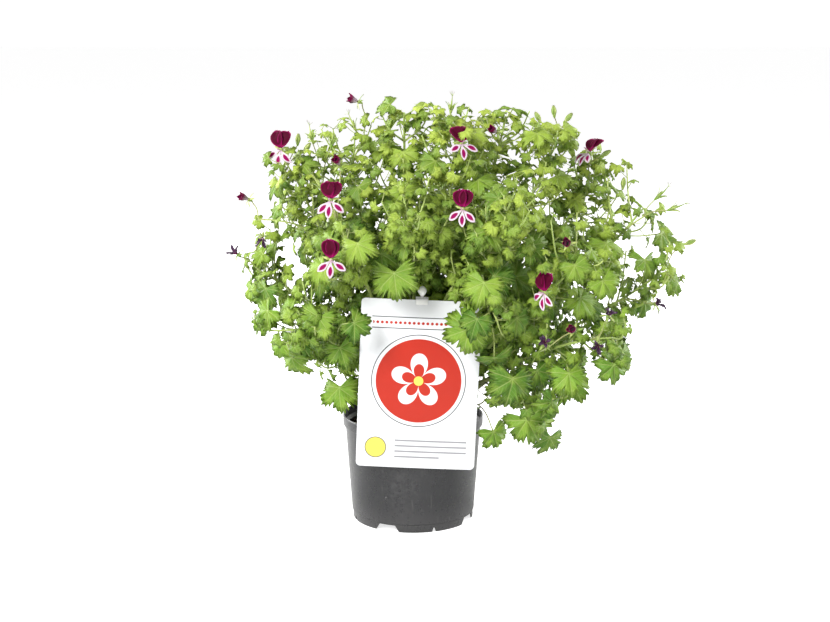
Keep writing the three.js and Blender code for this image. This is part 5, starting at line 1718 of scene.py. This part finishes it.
class GERANIUM_OT_soil(Operator):
    """Model the potting soil and the crumbs on it"""
    bl_idname = "geranium.soil"
    bl_label = "Potting Soil"

    def execute(self, context):
        s, pot = context.scene.geranium_soil, context.scene.geranium_pot
        low, edge = pot.foot_height + pot.wall + 0.3 * MM, self.radius(pot, s.top)
        rings = [(self.radius(pot, low), low), (edge, s.top - 0.8 * MM)]
        rings += [(edge * part, s.top) for part in np.linspace(0.985, 0.04, SOIL_RINGS)]
        soil = drawn_rings(rings, 96)
        dice = Dice(CRUMB_SEED)
        waves = [(dice.way() * 900, dice.between(0, 6.3)) for _ in range(SOIL_WAVES)]
        for vertex in soil.data.vertices:
            if vertex.co.z > s.top - 0.1 * MM:
                place = np.array(vertex.co)
                wave = sum(math.sin(float(way @ place) + phase) for way, phase in waves) / SOIL_WAVES
                fine = dice.between(-0.5, 0.5)
                vertex.co.z += (WAVE_HEIGHT * wave + ROUGH_HEIGHT * fine) * MM
        smooth(soil, 60)
        settle(soil, "potting_soil", Matrix.Translation(POT_AXIS))
        earth = soil_material(s)
        soil.data.materials.append(earth)
        finished(soil, "soil", "potting_soil")
        crumbs = self.crumbs(s, edge / MM - 3, dice).finish("soil_crumbs", [earth, perlite_material()])
        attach(crumbs, "root")
        return {"FINISHED"}

    def radius(self, pot, z):
        """The soil's radius at a height, just inside the pot's wall."""
        shoulder, flare = pot.height - pot.lip_height, pot.top_radius - pot.foot_radius
        return pot.foot_radius + flare * z / (shoulder - MM) - pot.wall - SOIL_GAP

    def crumbs(self, s, reach, dice):
        """Crumbs on the soil, each a small ball that is stretched, roughened and turned."""
        deselect()
        bpy.ops.mesh.primitive_ico_sphere_add(subdivisions=1, radius=1)
        ball = bpy.context.object
        shape = np.array([v.co[:] for v in ball.data.vertices])
        faces = [list(p.vertices) for p in ball.data.polygons]
        bpy.data.objects.remove(ball)
        growth = Growth()
        for k in range(s.crumbs):
            turn, far = dice.between(0, 2 * math.pi), math.sqrt(dice.next()) * reach
            size = dice.between(0.7, 2.1) ** 1.3
            stretch = [dice.between(low, high) for low, high in ((0.6, 1.6), (0.6, 1.2), (0.4, 0.9))]
            rough = 1 + 0.28 * np.array([dice.between(-1, 1) for _ in shape])
            spin = Matrix.Rotation(dice.between(0, 6.3), 3, "Z")
            spin = spin @ Matrix.Rotation(dice.between(-0.6, 0.6), 3, "X")
            points = (shape * rough[:, None] * np.array(stretch) * size) @ np.array(spin).T
            height = s.top / MM + 0.4 + 0.25 * size
            middle = np.array([far * math.cos(turn), far * math.sin(turn), height])
            growth.add(points + middle, faces, (0, 0), (0, 0, 0), int(k % WHITE_GRAIN == 0))
        return growth


# The card's cuts, its finest edge, and a spot of its print with nothing on it, for its back and
# edges. Its lower edge lies a little left of the card's middle, because it leans.
CARD_CUTS, CARD_EDGE, BARE_SPOT, CARD_LEFT = 23, 0.12 * MM, (0.03, 0.02), 3.1


def card_place():
    place = Vector((CARD_MIDDLE - CARD_LEFT, CARD_BACK - CARD_THICKNESS, CARD_BOTTOM)) * MM + POT_AXIS
    return Matrix.Translation(place) @ Matrix.Rotation(math.radians(CARD_LEAN), 4, "Y")


class GERANIUM_OT_card(Operator):
    """Model the printed plant card"""
    bl_idname = "geranium.card"
    bl_label = "Plant Card"

    def execute(self, context):
        s = context.scene.geranium_card
        deselect()
        bpy.ops.mesh.primitive_plane_add(size=1, rotation=(math.pi / 2, 0, 0), location=(0, 0, 0))
        card = bpy.context.object
        card.data.transform(Matrix.Diagonal((s.width, s.height, 1, 1)))
        open_whole()
        bpy.ops.mesh.bevel(affect="VERTICES", offset=s.corner, segments=6)
        bpy.ops.object.mode_set(mode="OBJECT")
        settle(card, "plant_card_print", Matrix.Translation((0, 0, s.height / 2)))
        make_active(card)
        bpy.ops.object.mode_set(mode="EDIT")
        for part in np.linspace(-0.46, 0.46, CARD_CUTS):
            bpy.ops.mesh.select_all(action="SELECT")
            bpy.ops.mesh.bisect(plane_co=(float(part) * s.width, 0, 0), plane_no=(1, 0, 0))
        bpy.ops.mesh.select_all(action="SELECT")
        bpy.ops.mesh.extrude_region_move(TRANSFORM_OT_translate={"value": (0, s.thickness, 0)})
        close_outwards()
        self.lay_map(card.data, s)
        for vertex in card.data.vertices:
            vertex.co.y += s.bow * (2 * vertex.co.x / (s.width + 2 * MM)) ** 2
        bevel(card, CARD_EDGE, 60)
        smooth(card, 30)
        settle(card, "plant_card_print", card_place())
        card.data.materials.append(card_material(s))
        finished(card, "plant_card", "card_print")
        return {"FINISHED"}

    def lay_map(self, mesh, s):
        """The card's own map: its front over the whole map, and the rest on a bare spot."""
        for other in list(mesh.uv_layers):
            mesh.uv_layers.remove(other)
        layer = mesh.uv_layers.new(name="shape")
        for face in mesh.polygons:
            for loop in face.loop_indices:
                co = mesh.vertices[mesh.loops[loop].vertex_index].co
                printed = face.normal.y < -0.5
                layer.data[loop].uv = (co.x / s.width + 0.5, co.z / s.height) if printed else BARE_SPOT


# The stick from the card's top edge to its point in the soil, its strip and the rib behind it,
# the clip over the card, and its head as radii and heights. Steps say how far each end of the
# strip is drawn out, and how many times as wide it gets.
STICK_TOP = Vector((CARD_MIDDLE + 3.2, CARD_BACK + 0.3, CARD_BOTTOM + CARD_HEIGHT))
STICK_FOOT = Vector((CARD_MIDDLE - 3.9, -54, 42))
HALF_STRIP, STRIP_THICK, HALF_RIB, RIB_BACK, RIB_FRONT = 3.5, 1.6, 0.7, -2.2, -1.5
HALF_CLIP, CLIP_BACK, CLIP_THICK, CLIP_TOP, CLIP_LENGTH = 5.2, -0.8, 1, 1.8, 4
CARD_GAP, STICK_EDGE = 0.6, 0.22
POINT_STEPS, TOP_STEPS = [(-10, 0.02)], [(0.01, 11 / 7), (6.39, 1.0)]
HEAD_FOOT, HEAD_BACK = 2.4, -0.8
HEAD = [(1.44, -1.6), (1.44, 1.0), (2.2, 1.9), (3.36, 3.4), (3.86, 4.4), (4.0, 5.2), (3.86, 6.2),
        (3.36, 7.4), (2.5, 8.5), (1.6, 9.2), (0.9, 9.55), (0.5, 9.9), (0.12, 10.0)]


class GERANIUM_OT_stick(Operator):
    """Model the stick that holds the card"""
    bl_idname = "geranium.stick"
    bl_label = "Card Stick"

    def execute(self, context):
        s = context.scene.geranium_card
        top, foot = STICK_TOP, STICK_FOOT
        far = (top - foot).length
        strip = self.strip(far)
        rib = self.block((-HALF_RIB, 8, RIB_BACK), (HALF_RIB, far - 8, RIB_FRONT))
        gap = CARD_THICKNESS + CARD_GAP
        corner = (HALF_CLIP, far + CLIP_TOP, gap + CLIP_THICK)
        clip = self.block((-HALF_CLIP, far + 0.5, CLIP_BACK), corner)
        front = self.block((-HALF_CLIP, far - CLIP_LENGTH, gap), corner)
        head = drawn_rings(HEAD, 40)
        upright = Matrix.Rotation(-math.pi / 2, 4, "X") @ Matrix.Translation(head.location)
        head.data.transform(Matrix.Translation((0, far + HEAD_FOOT, HEAD_BACK)) @ upright)
        head.location = (0, 0, 0)
        stick = joined([strip, rib, clip, front, head])
        bevel(stick, STICK_EDGE, 50)
        way = (top - foot).normalized()
        out = Vector((0, -1, 0))
        facing = (out - way * out.dot(way)).normalized()
        basis = Matrix((way.cross(facing), way, facing)).transposed().to_4x4()
        place = Matrix.Translation(POT_AXIS + foot * MM) @ Matrix.Diagonal((MM, MM, MM, 1)) @ basis
        smooth(stick, 35)
        settle(stick, "card_stick_plastic", place)
        stick.data.materials.append(stick_material(s))
        finished(stick, "card_stick", "stick_plastic")
        return {"FINISHED"}

    def block(self, low, high):
        piece = new_cube()
        low, high = Vector(low), Vector(high)
        for vertex in piece.data.vertices:
            vertex.co = [a + (b - a) * (c + 0.5) for a, b, c in zip(low, high, vertex.co)]
        return piece

    def strip(self, far):
        """The flat strip, pointed below and widened at the top."""
        strip = self.block((-HALF_STRIP, 4, -STRIP_THICK), (HALF_STRIP, far - 4, 0))
        bpy.ops.object.mode_set(mode="EDIT")
        mesh = bmesh.from_edit_mesh(strip.data)
        for sign, steps in ((-1, POINT_STEPS), (1, TOP_STEPS)):
            bpy.ops.mesh.select_all(action="DESELECT")
            mesh.faces.ensure_lookup_table()
            ends = sorted(mesh.faces, key=lambda f: sign * f.calc_center_median().y)
            ends[-1].select_set(True)
            bmesh.update_edit_mesh(strip.data)
            for move, widen in steps:
                bpy.ops.mesh.extrude_region_move(TRANSFORM_OT_translate={"value": (0, move, 0)})
                bpy.ops.transform.resize(value=(widen, 1, 1), center_override=(0, 0, 0))
            mesh = bmesh.from_edit_mesh(strip.data)
        bpy.ops.object.mode_set(mode="OBJECT")
        return strip


class GERANIUM_OT_shoots(Operator):
    """Grow the leafy shoots with their stems, leaves, flower stalks and calyces"""
    bl_idname = "geranium.shoots"
    bl_label = "Leafy Shoots"

    def execute(self, context):
        s = context.scene.geranium_leaf
        materials = [leaf_material(s), stem_material(s), cup_material(s)]
        for shoot in grow_plant():
            finished(shoot_piece(shoot, materials), f"shoot_{shoot.name}", "foliage")
        return {"FINISHED"}


class GERANIUM_OT_blooms(Operator):
    """Model the open, opening and dry flowers"""
    bl_idname = "geranium.blooms"
    bl_label = "Flowers"

    def execute(self, context):
        s = context.scene.geranium_flower
        dark, stamen = dark_petal_material(s), stamen_material(s)
        kinds = {
            "open": [(upper_petals, [dark, stamen], "bloom_{}_upper_petals", "dark_petal"),
                     (lower_petals, [light_petal_material(s)], "bloom_{}_lower_petals", "light_petal")],
            "half": [(half_bloom, [opening_petal_material(s)], "half_bloom_{}", "dark_petal")],
            "faded": [(faded_bloom, [dry_petal_material(s)], "faded_bloom_{}", "faded_petal")],
        }
        for shoot in grow_plant():
            for flower in (f for _, flowers in shoot.sprays for f in flowers):
                for model, materials, node, slot in kinds.get(flower.kind, []):
                    finished(model(flower, materials), node.format(f"{flower.number:02d}"), slot)
        return {"FINISHED"}


# The lights: for each its place, its width in metres and its share of the main light's power.
LIGHTS = {
    "key_light": ((-1.35, -1.9, 1.75), 1.4, 1.0),
    "left_light": ((-1.6, 0.75, 0.7), 1.5, 0.50),
    "right_light": ((1.7, 0.75, 0.7), 1.5, 0.50),
    "fill_light": ((1.5, -1.8, 0.9), 1.4, 0.12),
}
LIGHT_TARGET = (0, 0, 0.18)

# The floor, how bright the sky looks to the camera and in reflections, and the camera: its place
# in metres, how many degrees it looks down, its lens and sensor in millimetres, and its shift.
FLOOR_SIZE, FLOOR_HEIGHT = 30, -0.4 * MM
SKY_SEEN, SKY_REFLECTED = 1.05, 0.95
CAMERA_PLACE, CAMERA_DIP = (-0.044, -1.432, 0.476), 11
CAMERA_LENS, CAMERA_SENSOR, CAMERA_SHIFT = 68.35, 36.0, (0.0024, -0.0066)


class GERANIUM_OT_stage(Operator):
    """Set the pale floor, the soft light and the camera"""
    bl_idname = "geranium.stage"
    bl_label = "Stage"

    def execute(self, context):
        s = context.scene.geranium_stage
        deselect()
        bpy.ops.mesh.primitive_plane_add(size=FLOOR_SIZE, location=(0, 0, FLOOR_HEIGHT))
        floor = settle(bpy.context.object, "floor")
        floor.data.materials.append(floor_material(s))
        self.sky(context.scene, s.sky)
        for name, (place, size, power) in LIGHTS.items():
            self.light(name, place, size, power * s.key)
        self.camera(context.scene)
        return {"FINISHED"}

    def camera(self, scene):
        """A camera where the photograph was taken, which shows colours as they are."""
        data = bpy.data.cameras.new("photo_camera")
        data.lens, data.sensor_width = CAMERA_LENS, CAMERA_SENSOR
        data.shift_x, data.shift_y = CAMERA_SHIFT
        camera = bpy.data.objects.new("photo_camera", data)
        camera.location = CAMERA_PLACE
        camera.rotation_euler = (math.radians(90 - CAMERA_DIP), 0, 0)
        scene.collection.objects.link(camera)
        scene.camera = camera
        scene.view_settings.view_transform = "Standard"

    def sky(self, scene, brightness):
        """Light from all round, which the camera and reflections see as white."""
        world = bpy.data.worlds.new("soft_sky")
        world.use_nodes = True
        nodes = Nodes(world.node_tree)
        world.node_tree.nodes.clear()
        ray = nodes.add("ShaderNodeLightPath").outputs
        strength = nodes.scaled(ray["Is Camera Ray"], SKY_SEEN - brightness, brightness)
        strength = nodes.scaled(ray["Is Glossy Ray"], SKY_REFLECTED - brightness, strength)
        sky = nodes.add("ShaderNodeBackground", {"Color": (1.0, 1.0, 1.0), "Strength": strength})
        nodes.put(sky, nodes.add("ShaderNodeOutputWorld").inputs["Surface"])
        scene.world = world

    def light(self, name, place, size, power):
        data = bpy.data.lights.new(name, "AREA")
        data.shape, data.size, data.energy = "DISK", size, power
        light = bpy.data.objects.new(name, data)
        light.location = place
        aim = Vector(LIGHT_TARGET) - Vector(place)
        light.rotation_euler = aim.to_track_quat("-Z", "Y").to_euler()
        bpy.context.scene.collection.objects.link(light)


PIECES = (GERANIUM_OT_pot, GERANIUM_OT_soil, GERANIUM_OT_card, GERANIUM_OT_stick, GERANIUM_OT_shoots,
          GERANIUM_OT_blooms, GERANIUM_OT_stage)
SETTINGS = {
    "geranium_pot": GeraniumPotSettings, "geranium_soil": GeraniumSoilSettings,
    "geranium_card": GeraniumCardSettings, "geranium_leaf": GeraniumLeafSettings,
    "geranium_flower": GeraniumFlowerSettings, "geranium_stage": GeraniumStageSettings,
}


class GERANIUM_PT_pieces(Panel):
    """Lists the pieces of the potted geranium"""
    bl_idname = "GERANIUM_PT_pieces"
    bl_label = "Potted Geranium"
    bl_space_type = "VIEW_3D"
    bl_region_type = "UI"
    bl_category = "Geranium"

    def draw(self, context):
        for piece in PIECES:
            self.layout.operator(piece.bl_idname)
        for name, settings in SETTINGS.items():
            box = self.layout.box()
            for key in settings.__annotations__:
                box.prop(getattr(context.scene, name), key)


CLASSES = (*SETTINGS.values(), *PIECES, GERANIUM_PT_pieces)


def register():
    for cls in CLASSES:
        bpy.utils.register_class(cls)
    for name, settings in SETTINGS.items():
        setattr(bpy.types.Scene, name, PointerProperty(type=settings))


def unregister():
    for name in SETTINGS:
        delattr(bpy.types.Scene, name)
    for cls in reversed(CLASSES):
        bpy.utils.unregister_class(cls)


def main():
    register()
    for piece in PIECES:
        group, operator = piece.bl_idname.split(".")
        getattr(getattr(bpy.ops, group), operator)()
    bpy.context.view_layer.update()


if __name__ == "__main__":
    main()
